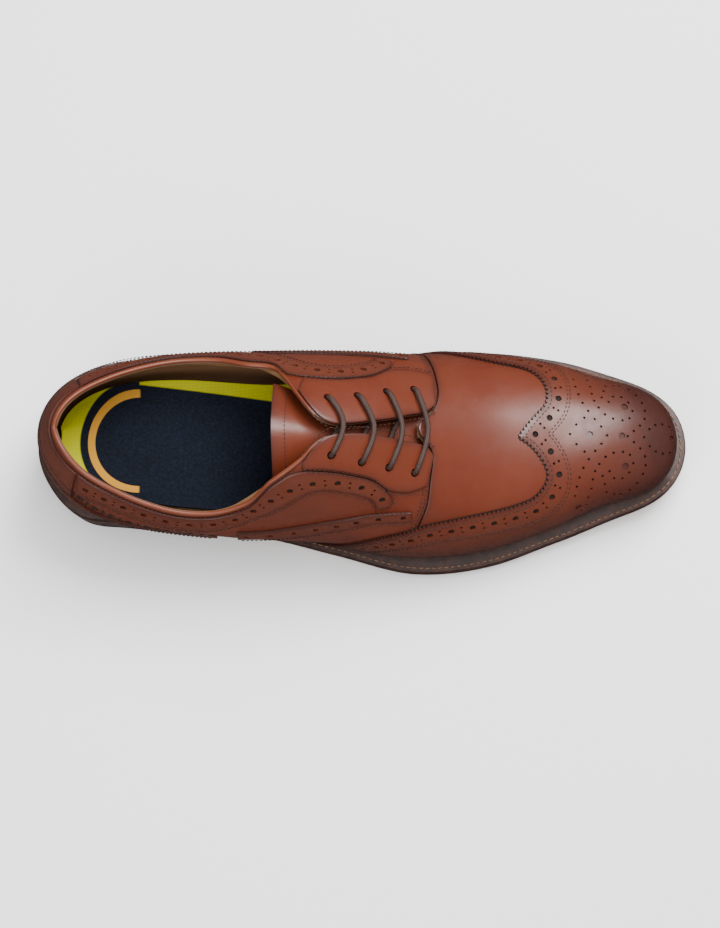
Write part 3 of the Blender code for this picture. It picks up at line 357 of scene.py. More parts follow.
def onto_last(flat):
    """Flat pattern points, on either side, onto the last."""
    x, y = flat[..., 0], flat[..., 1]
    ends_x, ends_y = widest(INSIDE, np.array([0.0, 1.0]))[:2]
    ridge_x, ridge_y = PATTERN[INSIDE].top
    slope = (ridge_y[0] - ends_y[0]) / (ridge_x[0] - ends_x[0])
    xs = np.concatenate([[ends_x[0] - LENGTH], ridge_x, [ends_x[1] + LENGTH]])
    ys = np.concatenate([[ends_y[0] - LENGTH * slope], ridge_y, [ends_y[1]]])
    middle = np.interp(x, xs, ys)
    return np.where((y > middle)[..., None], PATTERN[INSIDE].solid(x, y), PATTERN[OUTSIDE].solid(x, y))


def lasted(flat, height):
    """Flat points onto the last, raised off it by a height."""
    nudge = 0.0004
    along = onto_last(flat + [nudge, 0]) - onto_last(flat - [nudge, 0])
    across = onto_last(flat + [0, nudge]) - onto_last(flat - [0, nudge])
    normal = np.cross(along, across)
    normal /= np.linalg.norm(normal, axis=-1, keepdims=True)
    return onto_last(flat) + normal * np.asarray(height)[..., None]


def resample(points, count):
    """The same curve with evenly spaced points."""
    points = np.asarray(points, float)
    steps = np.concatenate([[0], np.cumsum(np.linalg.norm(np.diff(points, axis=0), axis=1))])
    at = np.linspace(0, steps[-1], count)
    return np.stack([np.interp(at, steps, column) for column in points.T], -1)


def curve(points, count):
    """Smooth curve through given points, evenly spaced."""
    points = np.asarray(points, float)
    place = np.concatenate([[0], np.cumsum(np.linalg.norm(np.diff(points, axis=0), axis=1))])
    fine = np.linspace(0, place[-1], 12 * len(points))
    return resample(np.stack([spline(np.stack([place, column], -1), fine) for column in points.T], -1), count)


# The skin of the last.
# The flat patterns are laid on the last through this fine table of its surface and of its outward
# direction, so that panels, holes and stitches all follow the same smooth form.
GRID = 0.001
FLAT_FROM, FLAT_TO = np.array([-0.228, -0.134]), np.array([0.186, 0.134])
grid_x = np.arange(FLAT_FROM[0], FLAT_TO[0], GRID)
grid_y = np.arange(FLAT_FROM[1], FLAT_TO[1], GRID)
SKIN = onto_last(np.stack(np.meshgrid(grid_x, grid_y, indexing="ij"), -1))
SKIN_OUT = np.cross(np.gradient(SKIN, axis=0), np.gradient(SKIN, axis=1))
SKIN_OUT /= np.linalg.norm(SKIN_OUT, axis=-1, keepdims=True)


def read_table(table, flat):
    """Smooth value of a table between its grid points."""
    place = (np.asarray(flat, float) - FLAT_FROM) / GRID
    cell = np.clip(np.floor(place).astype(int), 1, np.array(table.shape[:2]) - 3)
    t = np.clip(place - cell, -1, 2)
    weights = np.stack([-t ** 3 + 2 * t ** 2 - t, 3 * t ** 3 - 5 * t ** 2 + 2, -3 * t ** 3 + 4 * t ** 2 + t,
                        t ** 3 - t ** 2]) / 2
    total = 0
    for i in range(4):
        for j in range(4):
            corner = table[cell[..., 0] + i - 1, cell[..., 1] + j - 1]
            total = total + corner * (weights[i, ..., 0] * weights[j, ..., 1])[..., None]
    return total


def skin_out(flat):
    out = read_table(SKIN_OUT, flat)
    return out / np.linalg.norm(out, axis=-1, keepdims=True)


def skin(flat, height):
    """Points over the last at a height off it."""
    return read_table(SKIN, flat) + skin_out(flat) * np.asarray(height, float)[..., None]


def offset(line, distance):
    """A flat line moved to its left by a distance."""
    run = np.gradient(line, axis=0)
    run /= np.linalg.norm(run, axis=1, keepdims=True) + 1e-12
    return line + np.stack([-run[:, 1], run[:, 0]], -1) * distance


def length_of(line):
    return np.linalg.norm(np.diff(line, axis=0), axis=1).sum()


def edge_places(length, count, fine=(0.00025, 0.0007)):
    """Shares of a length that lie close together at its two ends, where an edge is rounded."""
    near = np.array([0, *fine]) * min(1.0, length / 0.004) / max(length, 1e-9)
    return np.concatenate([near, np.linspace(near[-1], 1 - near[-1], count)[1:-1], 1 - near[::-1]])


def fine_grid(a, b, rows, columns):
    """Fine grid of flat points from line a to line b."""
    along = edge_places(length_of(a), columns)
    def spaced(line):
        steps = np.concatenate([[0], np.cumsum(np.linalg.norm(np.diff(line, axis=0), axis=1))])
        return np.stack([np.interp(along * steps[-1], steps, column) for column in line.T], -1)
    a, b = spaced(a), spaced(b)
    gap = np.median(np.linalg.norm(b - a, axis=1))
    down = edge_places(gap, rows)[:, None, None]
    return a[None] * (1 - down) + b[None] * down


def closed_mesh(name, points, faces, attribute=None, smooth=40):
    """An object from points and faces. Coinciding points are merged and faces turned outward."""
    mesh = bpy.data.meshes.new(name)
    mesh.from_pydata(np.asarray(points, float).tolist(), [], faces)
    if attribute is not None:
        edge_dye_and_shade = mesh.attributes.new("edge", "FLOAT", "POINT")
        edge_dye_and_shade.data.foreach_set("value", np.asarray(attribute, np.float32))
    work = bmesh.new()
    work.from_mesh(mesh)
    bmesh.ops.remove_doubles(work, verts=work.verts, dist=0.000008)
    bmesh.ops.dissolve_degenerate(work, dist=0.000002, edges=work.edges)
    bmesh.ops.recalc_face_normals(work, faces=work.faces)
    work.to_mesh(mesh)
    work.free()
    body = bpy.data.objects.new(name, mesh)
    bpy.context.scene.collection.objects.link(body)
    mesh.shade_smooth()
    mesh.set_sharp_from_angle(angle=math.radians(smooth))
    return body


def shell(inner, outer):
    """Points and faces of a closed sheet between two matching grids."""
    rows, columns = inner.shape[:2]
    lift = rows * columns
    number = np.arange(lift).reshape(rows, columns)
    a, b, c, d = number[:-1, :-1], number[:-1, 1:], number[1:, 1:], number[1:, :-1]
    under = np.stack([a, b, c, d], -1).reshape(-1, 4)
    over = np.stack([d, c, b, a], -1).reshape(-1, 4) + lift
    rim = np.concatenate([number[0, :-1], number[:-1, -1], number[-1, :0:-1], number[:0:-1, 0]])
    side = np.stack([np.roll(rim, -1), rim, rim + lift, np.roll(rim, -1) + lift], -1)
    faces = np.concatenate([under, over, side]).tolist()
    return np.concatenate([inner.reshape(-1, 3), outer.reshape(-1, 3)]), faces


def panel(name, flat, layer, round_edge=0.00028, rise=0.0):
    """A leather piece: a fine grid of flat points, lasted, with rounded edges and its distance from them."""
    rows, columns = flat.shape[:2]
    def from_end(axis):
        steps = np.linalg.norm(np.diff(flat, axis=axis), axis=-1)
        pad = [(0, 0), (0, 0)]
        pad[axis] = (1, 0)
        run = np.cumsum(np.pad(steps, pad), axis=axis)
        last = np.take(run, [-1], axis=axis)
        return np.minimum(run, last - run)
    inside = np.minimum(from_end(0), from_end(1))
    index = np.minimum(np.minimum(np.arange(rows), np.arange(rows)[::-1])[:, None],
                       np.minimum(np.arange(columns), np.arange(columns)[::-1])[None])
    drop = round_edge * np.select([index == 0, index == 1], [1.0, 0.3], 0.0)
    inner, outer = skin(flat, layer[0] + rise + 0 * inside), skin(flat, layer[1] + rise - drop)
    points, faces = shell(inner, outer)
    edge_dye_and_shade = np.exp(-inside / 0.0013).ravel()
    return closed_mesh(name, points, faces, np.concatenate([edge_dye_and_shade, edge_dye_and_shade]))


def join_pieces(name, pieces):
    """Several closed pieces as one object."""
    bpy.ops.object.select_all(action="DESELECT")
    for piece in pieces:
        piece.select_set(True)
    bpy.context.view_layer.objects.active = pieces[0]
    bpy.ops.object.join()
    pieces[0].name = name
    return pieces[0]


def pinked(name, line, inward, layer, pitch=0.0021, depth=0.0015):
    """The zigzag edge that pinking shears leave: a strip of teeth along a flat line."""
    count = int(length_of(line) / pitch) * 2 + 1
    edge = resample(line, count)
    inner, middle = offset(edge, inward * 0.0016), offset(edge, inward * 0.0009)
    teeth = edge.copy()
    teeth[::2] = offset(edge, -inward * depth * 0.5)[::2]
    teeth[1::2] = offset(edge, inward * depth * 0.5)[1::2]
    flat = np.stack([inner, middle, teeth])
    top = np.array([layer[1] - 0.00003, layer[1] - 0.00002, layer[1] - 0.00022])[:, None] + np.zeros((3, count))
    points, faces = shell(skin(flat, np.full((3, count), layer[0])), skin(flat, top))
    # The teeth are coloured darker towards their tips: partly the dye of the cut edge, partly painted shade of the
    # gap under the thick leather.
    edge_dye_and_shade = np.repeat([0.3, 0.8, 1.0], count)
    return closed_mesh(name, points, faces, np.concatenate([edge_dye_and_shade, edge_dye_and_shade]))


def prisms(name, spots, low, high, grow=1.0):
    """Short round pegs standing on the last at flat places, given with their radii."""
    points, faces = [], []
    for flat, radius in spots:
        sides = 14 if radius > 0.001 else 9
        out = skin_out(flat)
        foot = skin(flat, np.float64(low))
        head = skin(flat, np.float64(high))
        u = np.cross(out, [1, 0, 0])
        u /= np.linalg.norm(u)
        v = np.cross(out, u)
        angle = np.linspace(0, 2 * math.pi, sides, endpoint=False)[:, None]
        ring = (u * np.cos(angle) + v * np.sin(angle)) * radius * grow
        first = len(points)
        points += [*(foot + ring), *(head + ring)]
        near, far = list(range(first, first + sides)), list(range(first + sides, first + 2 * sides))
        faces += [near[::-1], far]
        faces += [(near[i], near[(i + 1) % sides], far[(i + 1) % sides], far[i]) for i in range(sides)]
    return closed_mesh(name, points, faces)


def punch_through(piece, spots, low, high, angle=30):
    """Cuts round holes through a piece."""
    punch = prisms("punch", spots, low, high)
    before = len(piece.data.vertices)
    for solver in ("MANIFOLD", "EXACT"):
        if len(piece.data.vertices) == before:
            cut = piece.modifiers.new("holes", "BOOLEAN")
            cut.operation = "DIFFERENCE"
            cut.solver = solver
            cut.object = punch
            bpy.context.view_layer.objects.active = piece
            bpy.ops.object.modifier_apply(modifier=cut.name)
    bpy.data.objects.remove(punch)
    piece.data.shade_smooth()
    piece.data.set_sharp_from_angle(angle=math.radians(angle))


BIG_HOLE, SMALL_HOLE, HOLE_PITCH = 0.00150, 0.00064, 0.0103


def brogue_line(line, start=0.0, end=0.0, centred=False):
    """Holes along a flat line: large ones at one pitch, and a pair of small ones set across between each two."""
    place = np.concatenate([[0], np.cumsum(np.linalg.norm(np.diff(line, axis=0), axis=1))])
    room = place[-1] - start - end
    count = max(int(room / HOLE_PITCH), 1)
    pitch = HOLE_PITCH if centred else room / count
    at = lambda s: np.array([np.interp(s, place, column) for column in line.T])
    left = offset(line, 1.0) - line
    spots = []
    for k in range(count + 1):
        s = start + k * pitch
        if s > place[-1] - end + 1e-6:
            break
        spots.append((at(s), BIG_HOLE))
        if s + pitch < place[-1] - end + 1e-6:
            half = s + pitch / 2
            across = np.array([np.interp(half, place, column) for column in left.T])
            spots += [(at(half) + across * 0.00125, SMALL_HOLE), (at(half) - across * 0.00125, SMALL_HOLE)]
    return spots


STITCH, STITCH_PITCH, THREAD = 0.00145, 0.0020, 0.00024


def sew(points, out, pitch_length=STITCH, radius=THREAD):
    """Points and faces of a row of stitches, one between each two points."""
    middle, run = (points[1:] + points[:-1]) / 2, points[1:] - points[:-1]
    up = (out[1:] + out[:-1]) / 2
    run = run / np.linalg.norm(run, axis=1, keepdims=True)
    side = np.cross(up, run)
    side /= np.linalg.norm(side, axis=1, keepdims=True)
    up = np.cross(run, side)
    sides = 6
    angle = np.linspace(0, 2 * math.pi, sides, endpoint=False)
    verts, faces = [], []
    rings = ((-0.5, 0.35, -0.00010), (-0.30, 1.0, 0.00006), (0.30, 1.0, 0.00006), (0.5, 0.35, -0.00010))
    for m, r, s, u in zip(middle, run, side, up):
        first = len(verts)
        for place, size, lift in rings:
            centre = m + r * place * pitch_length + u * lift
            verts += [centre + (s * math.cos(a) + u * math.sin(a)) * radius * size for a in angle]
        for k in range(3):
            a, b = first + k * sides, first + (k + 1) * sides
            faces += [(a + i, a + (i + 1) % sides, b + (i + 1) % sides, b + i) for i in range(sides)]
        faces += [tuple(range(first + sides - 1, first - 1, -1)), tuple(range(first + 3 * sides, first + 4 * sides))]
    return verts, faces


def stitching(name, rows):
    """Stitches along flat lines, each given with the height of the leather that it holds."""
    verts, faces = [], []
    for line, height in rows:
        flat = resample(line, max(int(length_of(line) / STITCH_PITCH), 1) + 1)
        some, more = sew(skin(flat, np.full(len(flat), height)), skin_out(flat))
        faces += [tuple(i + len(verts) for i in face) for face in more]
        verts += some
    mesh = bpy.data.meshes.new(name)
    mesh.from_pydata([tuple(v) for v in verts], [], faces)
    mesh.shade_smooth()
    body = bpy.data.objects.new(name, mesh)
    bpy.context.scene.collection.objects.link(body)
    return body


# Burnished calf.
# Waxed cognac calf: a warm brown that drifts in tone, darker along cut edges and towards the toe, where it
# was burnished by hand, with a fine grain and a soft polish. It is painted darker down the walls as painted
# shade, where less of the overhead light falls, and the edge mark carries painted shade in places too.
# The dark tone that the calf shifts to: for burnished and dyed leather, and for painted shade.
COGNAC, BURNISH_AND_SHADE = (0.098, 0.0172, 0.0068), (0.036, 0.009, 0.0065)
LINING_TAN, THREAD_BROWN = (0.16, 0.075, 0.035), (0.030, 0.011, 0.007)


def socket(group, name, kind, way, value=None):
    made = group.interface.new_socket(name=name, in_out=way, socket_type=kind)
    if value is not None:
        made.default_value = value
    return made


calf = bpy.data.node_groups.new("burnished_calf", "ShaderNodeTree")
socket(calf, "Colour", "NodeSocketColor", "INPUT", (*COGNAC, 1))
socket(calf, "Burnish and shade", "NodeSocketColor", "INPUT", (*BURNISH_AND_SHADE, 1))
socket(calf, "Edge", "NodeSocketFloat", "INPUT", 0.0)
socket(calf, "Toe", "NodeSocketFloat", "INPUT", 1.0)
socket(calf, "Grain", "NodeSocketFloat", "INPUT", 0.5)
socket(calf, "Roughness", "NodeSocketFloat", "INPUT", 0.36)
socket(calf, "Colour", "NodeSocketColor", "OUTPUT")
socket(calf, "Roughness", "NodeSocketFloat", "OUTPUT")
socket(calf, "Normal", "NodeSocketVector", "OUTPUT")


def node(tree, kind, values=None, **settings):
    made = tree.nodes.new(kind)
    for key, value in settings.items():
        setattr(made, key, value)
    for key, value in (values or {}).items():
        if isinstance(value, bpy.types.NodeSocket):
            tree.links.new(value, made.inputs[key])
        else:
            made.inputs[key].default_value = value
    return made


def math_node(tree, operation, *values, clamp=False):
    return node(tree, "ShaderNodeMath", dict(enumerate(values)), operation=operation, use_clamp=clamp).outputs[0]


def ramp(tree, value, low, high, to_low=0.0, to_high=1.0):
    made = node(tree, "ShaderNodeMapRange", {"Value": value, "From Min": low, "From Max": high, "To Min": to_low,
                                             "To Max": to_high}, interpolation_type="SMOOTHSTEP")
    return made.outputs["Result"]


def mixed(tree, factor, a, b, blend="MIX"):
    made = node(tree, "ShaderNodeMix", data_type="RGBA", blend_type=blend)
    for number, value in ((0, factor), (6, a), (7, b)):
        if isinstance(value, bpy.types.NodeSocket):
            tree.links.new(value, made.inputs[number])
        else:
            made.inputs[number].default_value = value
    return made.outputs[2]


given, put = calf.nodes.new("NodeGroupInput"), calf.nodes.new("NodeGroupOutput")
where = node(calf, "ShaderNodeTexCoord").outputs["Object"]
spread = node(calf, "ShaderNodeTexNoise", {"Vector": where, "Scale": 26.0, "Detail": 4.0, "Roughness": 0.55})
spread = spread.outputs["Fac"]
streak = node(calf, "ShaderNodeTexNoise", {"Vector": where, "Scale": 150.0, "Detail": 3.0, "Distortion": 0.6})
streak = streak.outputs["Fac"]
x_place = node(calf, "ShaderNodeSeparateXYZ", {"Vector": where}).outputs
toe = math_node(calf, "MULTIPLY", ramp(calf, x_place["X"], 0.088, 0.152, 0.0, 0.85), given.outputs["Toe"])
# Painted shade: darker towards the bottom of the walls, where less of the overhead light falls.
painted_wall_shade = ramp(calf, x_place["Z"], 0.056, 0.014, 0.0, 0.62)
# Dark along cut edges: the dye of the edges, and painted shade where the edge mark is laid in creases.
edge_dye_and_shade = math_node(calf, "MULTIPLY", given.outputs["Edge"], 0.75)
dark = math_node(calf, "ADD", math_node(calf, "ADD", edge_dye_and_shade, toe), painted_wall_shade)
dark = math_node(calf, "ADD", dark, ramp(calf, spread, 0.42, 0.72, 0.0, 0.22))
dark = math_node(calf, "ADD", dark, ramp(calf, streak, 0.5, 0.8, 0.0, 0.10), clamp=True)
tone = mixed(calf, ramp(calf, spread, 0.30, 0.62), given.outputs["Colour"],
             mixed(calf, 1.0, given.outputs["Colour"], (1.18, 1.32, 1.30, 1), "MULTIPLY"))
calf.links.new(mixed(calf, dark, tone, given.outputs["Burnish and shade"]), put.inputs["Colour"])
rough = math_node(calf, "ADD", given.outputs["Roughness"], ramp(calf, streak, 0.3, 0.8, -0.05, 0.07))
calf.links.new(rough, put.inputs["Roughness"])
pores = node(calf, "ShaderNodeTexVoronoi", {"Vector": where, "Scale": 1500.0}).outputs["Distance"]
ripple = node(calf, "ShaderNodeTexNoise", {"Vector": where, "Scale": 420.0, "Detail": 5.0}).outputs["Fac"]
height = math_node(calf, "ADD", math_node(calf, "MULTIPLY", pores, 0.35), ripple)
bump = node(calf, "ShaderNodeBump", {"Height": height, "Strength": given.outputs["Grain"], "Distance": 0.00012})
calf.links.new(bump.outputs["Normal"], put.inputs["Normal"])


def calf_leather(name, colour=COGNAC, burnish_and_shade=BURNISH_AND_SHADE, toe=1.0, grain=0.30, roughness=0.40, coat=0.12):
    """A leather of the upper in its own tone."""
    made = bpy.data.materials.new(name)
    made.use_nodes = True
    tree = made.node_tree
    surface = tree.nodes["Principled BSDF"]
    edge = node(tree, "ShaderNodeAttribute", attribute_name="edge").outputs["Fac"]
    hide = node(tree, "ShaderNodeGroup", node_tree=calf)
    for key, value in {"Colour": (*colour, 1), "Burnish and shade": (*burnish_and_shade, 1), "Toe": toe, "Grain": grain,
                       "Roughness": roughness}.items():
        hide.inputs[key].default_value = value
    tree.links.new(edge, hide.inputs["Edge"])
    tree.links.new(hide.outputs["Colour"], surface.inputs["Base Color"])
    tree.links.new(hide.outputs["Roughness"], surface.inputs["Roughness"])
    tree.links.new(hide.outputs["Normal"], surface.inputs["Normal"])
    surface.inputs["Coat Weight"].default_value = coat
    surface.inputs["Specular IOR Level"].default_value = 0.30
    surface.inputs["Coat Roughness"].default_value = 0.22
    return made


def plain_material(name, colour, roughness, scale=300.0, depth=0.0001, metallic=0.0, vary=0.25):
    """A matt material with a little variation of tone and a fine bump."""
    made = bpy.data.materials.new(name)
    made.use_nodes = True
    tree = made.node_tree
    surface = tree.nodes["Principled BSDF"]
    where = node(tree, "ShaderNodeTexCoord").outputs["Object"]
    speckle = node(tree, "ShaderNodeTexNoise", {"Vector": where, "Scale": scale, "Detail": 4.0}).outputs["Fac"]
    darker = tuple(c * (1 - 2 * vary) for c in colour)
    lighter = tuple(min(c * (1 + 2 * vary), 1) for c in colour)
    colour = mixed(tree, ramp(tree, speckle, 0.3, 0.7), (*darker, 1), (*lighter, 1))
    tree.links.new(colour, surface.inputs["Base Color"])
    bump = node(tree, "ShaderNodeBump", {"Height": speckle, "Strength": 0.5, "Distance": depth})
    tree.links.new(bump.outputs["Normal"], surface.inputs["Normal"])
    surface.inputs["Roughness"].default_value = roughness
    surface.inputs["Metallic"].default_value = metallic
    surface.inputs["Specular IOR Level"].default_value = 0.3
    return made


def dress(piece, material, *nodes, body="shoe", slot=None):
    """Gives a piece its material, its body and the CAD nodes that it stands for."""
    piece.data.materials.clear()
    piece.data.materials.append(material)
    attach(piece, body)
    if nodes:
        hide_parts(*nodes)
    return piece


# Linings and quarters.
# The quarters wrap the heel and carry the eyelets. Each is one piece of calf over one of lining leather,
# open along the facings, with the lace holes punched through both.
# All patterns are drawn in millimetres on a standard last, as seen from above, and graded to this one.
STANDARD = (305.0, 106.2)
BINDING = 0.0024         # height of the bound edge along the topline
SEAM = 0.0006            # space between two butted pieces
LOWEST = 0.0006          # the upper stops this far up from the sole


def graded(points):
    return np.array(points, float) * [LENGTH / STANDARD[0], BALL_WIDTH / STANDARD[1]]


def drawn(side, points, count):
    """Smooth pattern line through places drawn on one side, seen from above."""
    plan = graded(points)
    return curve(PATTERN[side].from_plan(plan[:, 0], plan[:, 1]), count)


def join(*lines):
    return np.concatenate(lines)


TOPLINE = ((0, 1.00), (.05, .85), (.10, .56), (.16, .24), (.22, .02), (.27, .07), (.32, .50))
FACING = {
    OUTSIDE: ((-42, -24.3), (-35, -20), (-28, -15), (-22.9, -9.9), (-18.5, -6.2), (-14.3, -4.4), (-7.4, -3.2),
              (0.7, -2.4), (7.6, -2.6), (14.4, -3.4), (20, -3.8), (24.3, -4.2), (29.4, -5.8), (32, -9.3)),
    INSIDE: ((-42, 31), (-35.4, 24), (-29.9, 15.2), (-23.5, 6.9), (-19.5, 3.4), (-14.4, 1.2), (-6.2, 1.8),
             (4.1, 3.9), (14.3, 6.4), (21.6, 8.8), (26.2, 10), (29.3, 11.5), (33.1, 15.2)),
}
FRONT = {
    OUTSIDE: ((32, -9.3), (31.2, -15.5), (30.4, -21.9), (29.5, -29.2), (26.5, -36.9), (23, -42)),
    INSIDE: ((33.1, 15.2), (34.3, 20.7), (33.3, 29.7), (30.9, 38.5), (28.3, 44)),
}
QUARTER_END = {OUTSIDE: .570, INSIDE: .585}     # where the quarter's front meets the sole


def topline(side, lower, count):
    """The topline and the facing edge of one side, heel to throat, lowered by the width of the binding."""
    pattern = PATTERN[side]
    f = np.array([row[0] for row in TOPLINE])
    turn = np.arccos(1 - 2 * f) / math.pi
    turn[0] = 0.0012
    z = ANKLE_HEIGHT + (BACK_HEIGHT - ANKLE_HEIGHT) * np.array([row[1] for row in TOPLINE])
    facing = graded(FACING[side])
    line = join(pattern.from_height(turn, z), pattern.from_plan(facing[:, 0], facing[:, 1]))
    turn, distance = pattern.find(line[:, 0], line[:, 1])
    fade = np.clip((facing[4, 0] - line[:, 0]) / 0.012, 0, 1)
    return curve(pattern.flat(turn, distance + lower * fade), count)


def hem(side, start, end, count, up=LOWEST):
    """Line just above the sole, between two shares of the length."""
    turn = np.linspace(math.acos(1 - 2 * start), math.acos(1 - 2 * end), count) / math.pi
    return resample(PATTERN[side].feather(turn, up), count)


def front_edge(side, ahead, count):
    """Front edge of a quarter down to the sole, moved ahead by a seam."""
    line = drawn(side, FRONT[side], 12)
    end = PATTERN[side].feather(np.array([math.acos(1 - 2 * QUARTER_END[side]) / math.pi]), LOWEST)
    return curve(join(line, end), count) + [ahead, 0]


EYELETS = {
    OUTSIDE: ((-14.5, -13.4), (-0.9, -15.2), (11.4, -16.4), (23.2, -17.6)),
    INSIDE: ((-16, 13.8), (-2.6, 15.8), (10.5, 19.2), (23, 21.8)),
}
HOLE_SHIFT = 0.0007      # the holes sit this far towards the gap from the lace's turn


def eyelet_flat(side, number):
    return PATTERN[side].from_plan(*graded(EYELETS[side][number]))


UNDER_LAYER, BASE_LAYER, TOP_LAYER = (0.0003, 0.0012), (0.0031, 0.0042), (0.00435, 0.00545)
EYELET_HOLE = 0.0021         # radius of the hole through the leather
calf_main = calf_leather("cognac_calf")
calf_trim = calf_leather("brogued_calf", colour=(0.086, 0.0175, 0.0078))
calf_wing = calf_leather("burnished_wing", colour=(0.090, 0.0175, 0.0076), roughness=0.36, coat=0.12)
calf_lining = calf_leather("lining_leather", colour=LINING_TAN, burnish_and_shade=(0.12, 0.06, 0.03), toe=0.0, roughness=0.6,
                           coat=0)
sides = ((OUTSIDE, "outside"), (INSIDE, "inside"))
eyelet_places = {side: [(eyelet_flat(side, n) - [0, side * HOLE_SHIFT], EYELET_HOLE) for n in range(4)]
                 for side, word in sides}
for side, word in sides:
    top, low = topline(side, 0.0010, 400), hem(side, 0.000004, QUARTER_END[side], 300)
    front = front_edge(side, 0, 80)
    flat = fine_grid(top, low, 56, 120)
    share_down = np.linspace(0, 1, len(flat))
    ahead = np.linspace(0, 1, flat.shape[1])[None, :, None] ** 6
    front_places = np.stack([np.interp(share_down, np.linspace(0, 1, 80), column) for column in front.T], -1)
    flat = flat + (front_places[:, None] - flat[:, -1:]) * ahead
    near_top = np.clip(1 - np.linalg.norm(flat - flat[:1], axis=-1) / 0.012, 0, 1)
    drawn_up = 0.0017 * near_top ** 2 * (3 - 2 * near_top)
    for name, layer, material, rise in (("quarter", BASE_LAYER, calf_main, 0.0),
                                        ("quarter_lining", UNDER_LAYER, calf_lining, drawn_up)):
        piece = panel(f"{name}_{word}_leather", flat, layer, rise=rise)
        above = 0.001 if name == "quarter" else 0.0025
        punch_through(piece, eyelet_places[side], layer[0] - 0.001, layer[1] + above)
        dress(piece, material, f"{name}_{word}")

# Vamp.
# The front of the upper between the facings and the wing cap, sewn under the quarters' front edges.
THROAT = ((32.6, -9.0), (30, -3.5), (26.5, 0), (25.5, 3), (27, 7), (30.5, 9.6), (33.7, 14.8))
VAMP_FRONT = {
    OUTSIDE: ((30, -43.5), (40, -42.5), (50, -41), (60, -38.5), (70, -36), (80, -32.5), (89, -27.5), (94.5, -20),
              (95, -12), (91, -4), (84, 2.9)),
    INSIDE: ((84, 2.9), (91, 11), (95, 20), (95.5, 28), (91, 35.5), (83, 40), (72, 43), (60, 45), (48, 46.5)),
}


def ridge_at(x):
    """Y of the centre line of the forepart at a place along it."""
    return np.interp(x, *PATTERN[INSIDE].top)


def throat_edge(count, outside_short=0, inside_short=0):
    """Edge from the sole over the foot to the sole again, a seam ahead of the quarters and round the throat."""
    throat = graded(THROAT)
    sides = [OUTSIDE if y < ridge_at(x) else INSIDE for x, y in throat]
    middle = np.array([PATTERN[side].from_plan(x, y) for side, (x, y) in zip(sides, throat)])
    outside = front_edge(OUTSIDE, SEAM, count)[:count - outside_short][::-1]
    return join(outside, curve(middle, 9)[1:-1], front_edge(INSIDE, SEAM, count)[:count - inside_short])


throat, vamp_front = throat_edge(40, 6, 8), join(drawn(OUTSIDE, VAMP_FRONT[OUTSIDE], 60),
                                                 drawn(INSIDE, VAMP_FRONT[INSIDE], 60)[1:])
vamp = panel("vamp_leather", fine_grid(resample(throat, 300), resample(vamp_front, 300), 50, 130), BASE_LAYER)
dress(vamp, calf_main, "vamp")

# Trim along the topline, round the eyelets, down the sides and over the heel.
# Each is a thin strip of calf laid on the quarter and sewn round its edges, with a row of brogue holes.
BAND_TOP = {
    OUTSIDE: ((-33.5, -21.5), (-27, -19.9), (-19.5, -19.7), (-5, -20.6), (4.5, -22.2), (10.5, -25.6), (12.9, -28.6),
              (12.9, -31.4)),
    INSIDE: ((-35, 26.2), (-27, 24.5), (-17, 24), (-5, 25.2), (4.5, 27.4), (10.5, 31), (12.9, 34), (12.8, 36.8)),
}
BAND_LOW = {
    OUTSIDE: ((-131, -24.4), (-121, -29.4), (-108, -34.1), (-94.7, -38), (-80.4, -40.1), (-67.9, -40.3), (-58.7, -39),
              (-49.9, -37), (-42.3, -35.1), (-35.7, -32.6), (-24, -27.6), (-18.5, -26.6), (-9.6, -27), (-.9, -28),
              (3.9, -29.4), (5.6, -31.2), (5.6, -33.2)),
    INSIDE: ((-131, 27.4), (-121, 31.5), (-108, 35.6), (-94.7, 38.4), (-80.4, 40.4), (-67.9, 41.4), (-58.7, 41.4),
             (-49.9, 40.6), (-42.3, 38.8), (-34, 35.6), (-27.4, 32.4), (-19.9, 30.8), (-9.8, 30.9), (-1.2, 33),
             (3.3, 34.6), (4.9, 36.4), (4.9, 38.2)),
}
LOW_BAND = {
    OUTSIDE: (((-58, -41.4), (-45, -41), (-31, -39.6), (-10, -37), (2, -35.2), (12.5, -34.2), (22, -33.4)),
              ((-58, -42.8), (-45.6, -42.7), (-31.3, -42), (-10, -40), (1.6, -38.4), (13.5, -37.6), (22.5, -37.1))),
    INSIDE: (((-52, 42.6), (-40, 42.2), (-24, 41.8), (-10, 41.4), (2, 40.6), (12, 39.8), (21, 39.2)),
             ((-52, 44.6), (-40, 44.4), (-24, 44.2), (-10, 43.9), (2, 43.4), (12, 42.6), (21, 41.8))),
}
BACK_TAB_END, BACK_TAB_DEPTH = .048, 0.024
FOXING_END = {OUTSIDE: .270, INSIDE: .250}
PUNCH = 0.0006           # a punch goes this far past both faces
PINKED_BACK = 0.0009     # a piece stops this far behind its line of teeth


def topline_z(turn, lower=0.0):
    return ANKLE_HEIGHT + (BACK_HEIGHT - ANKLE_HEIGHT) * spline(TOPLINE, share(turn)) - lower


def foxing_top(turn):
    """Top edge of the heel foxing: up at the back tab, then sweeping down to the sole."""
    low = seat_z(HEEL_X) + 0.004
    high = topline_z(turn, BACK_TAB_DEPTH + 2 * SEAM)
    return low + (high - low) * np.cos(np.clip(share(turn) / .27, 0, 1) * math.pi / 2) ** 0.7


def hem_z(turn):
    return seat_z(HEEL_X + UPPER * share(turn)) + LOWEST


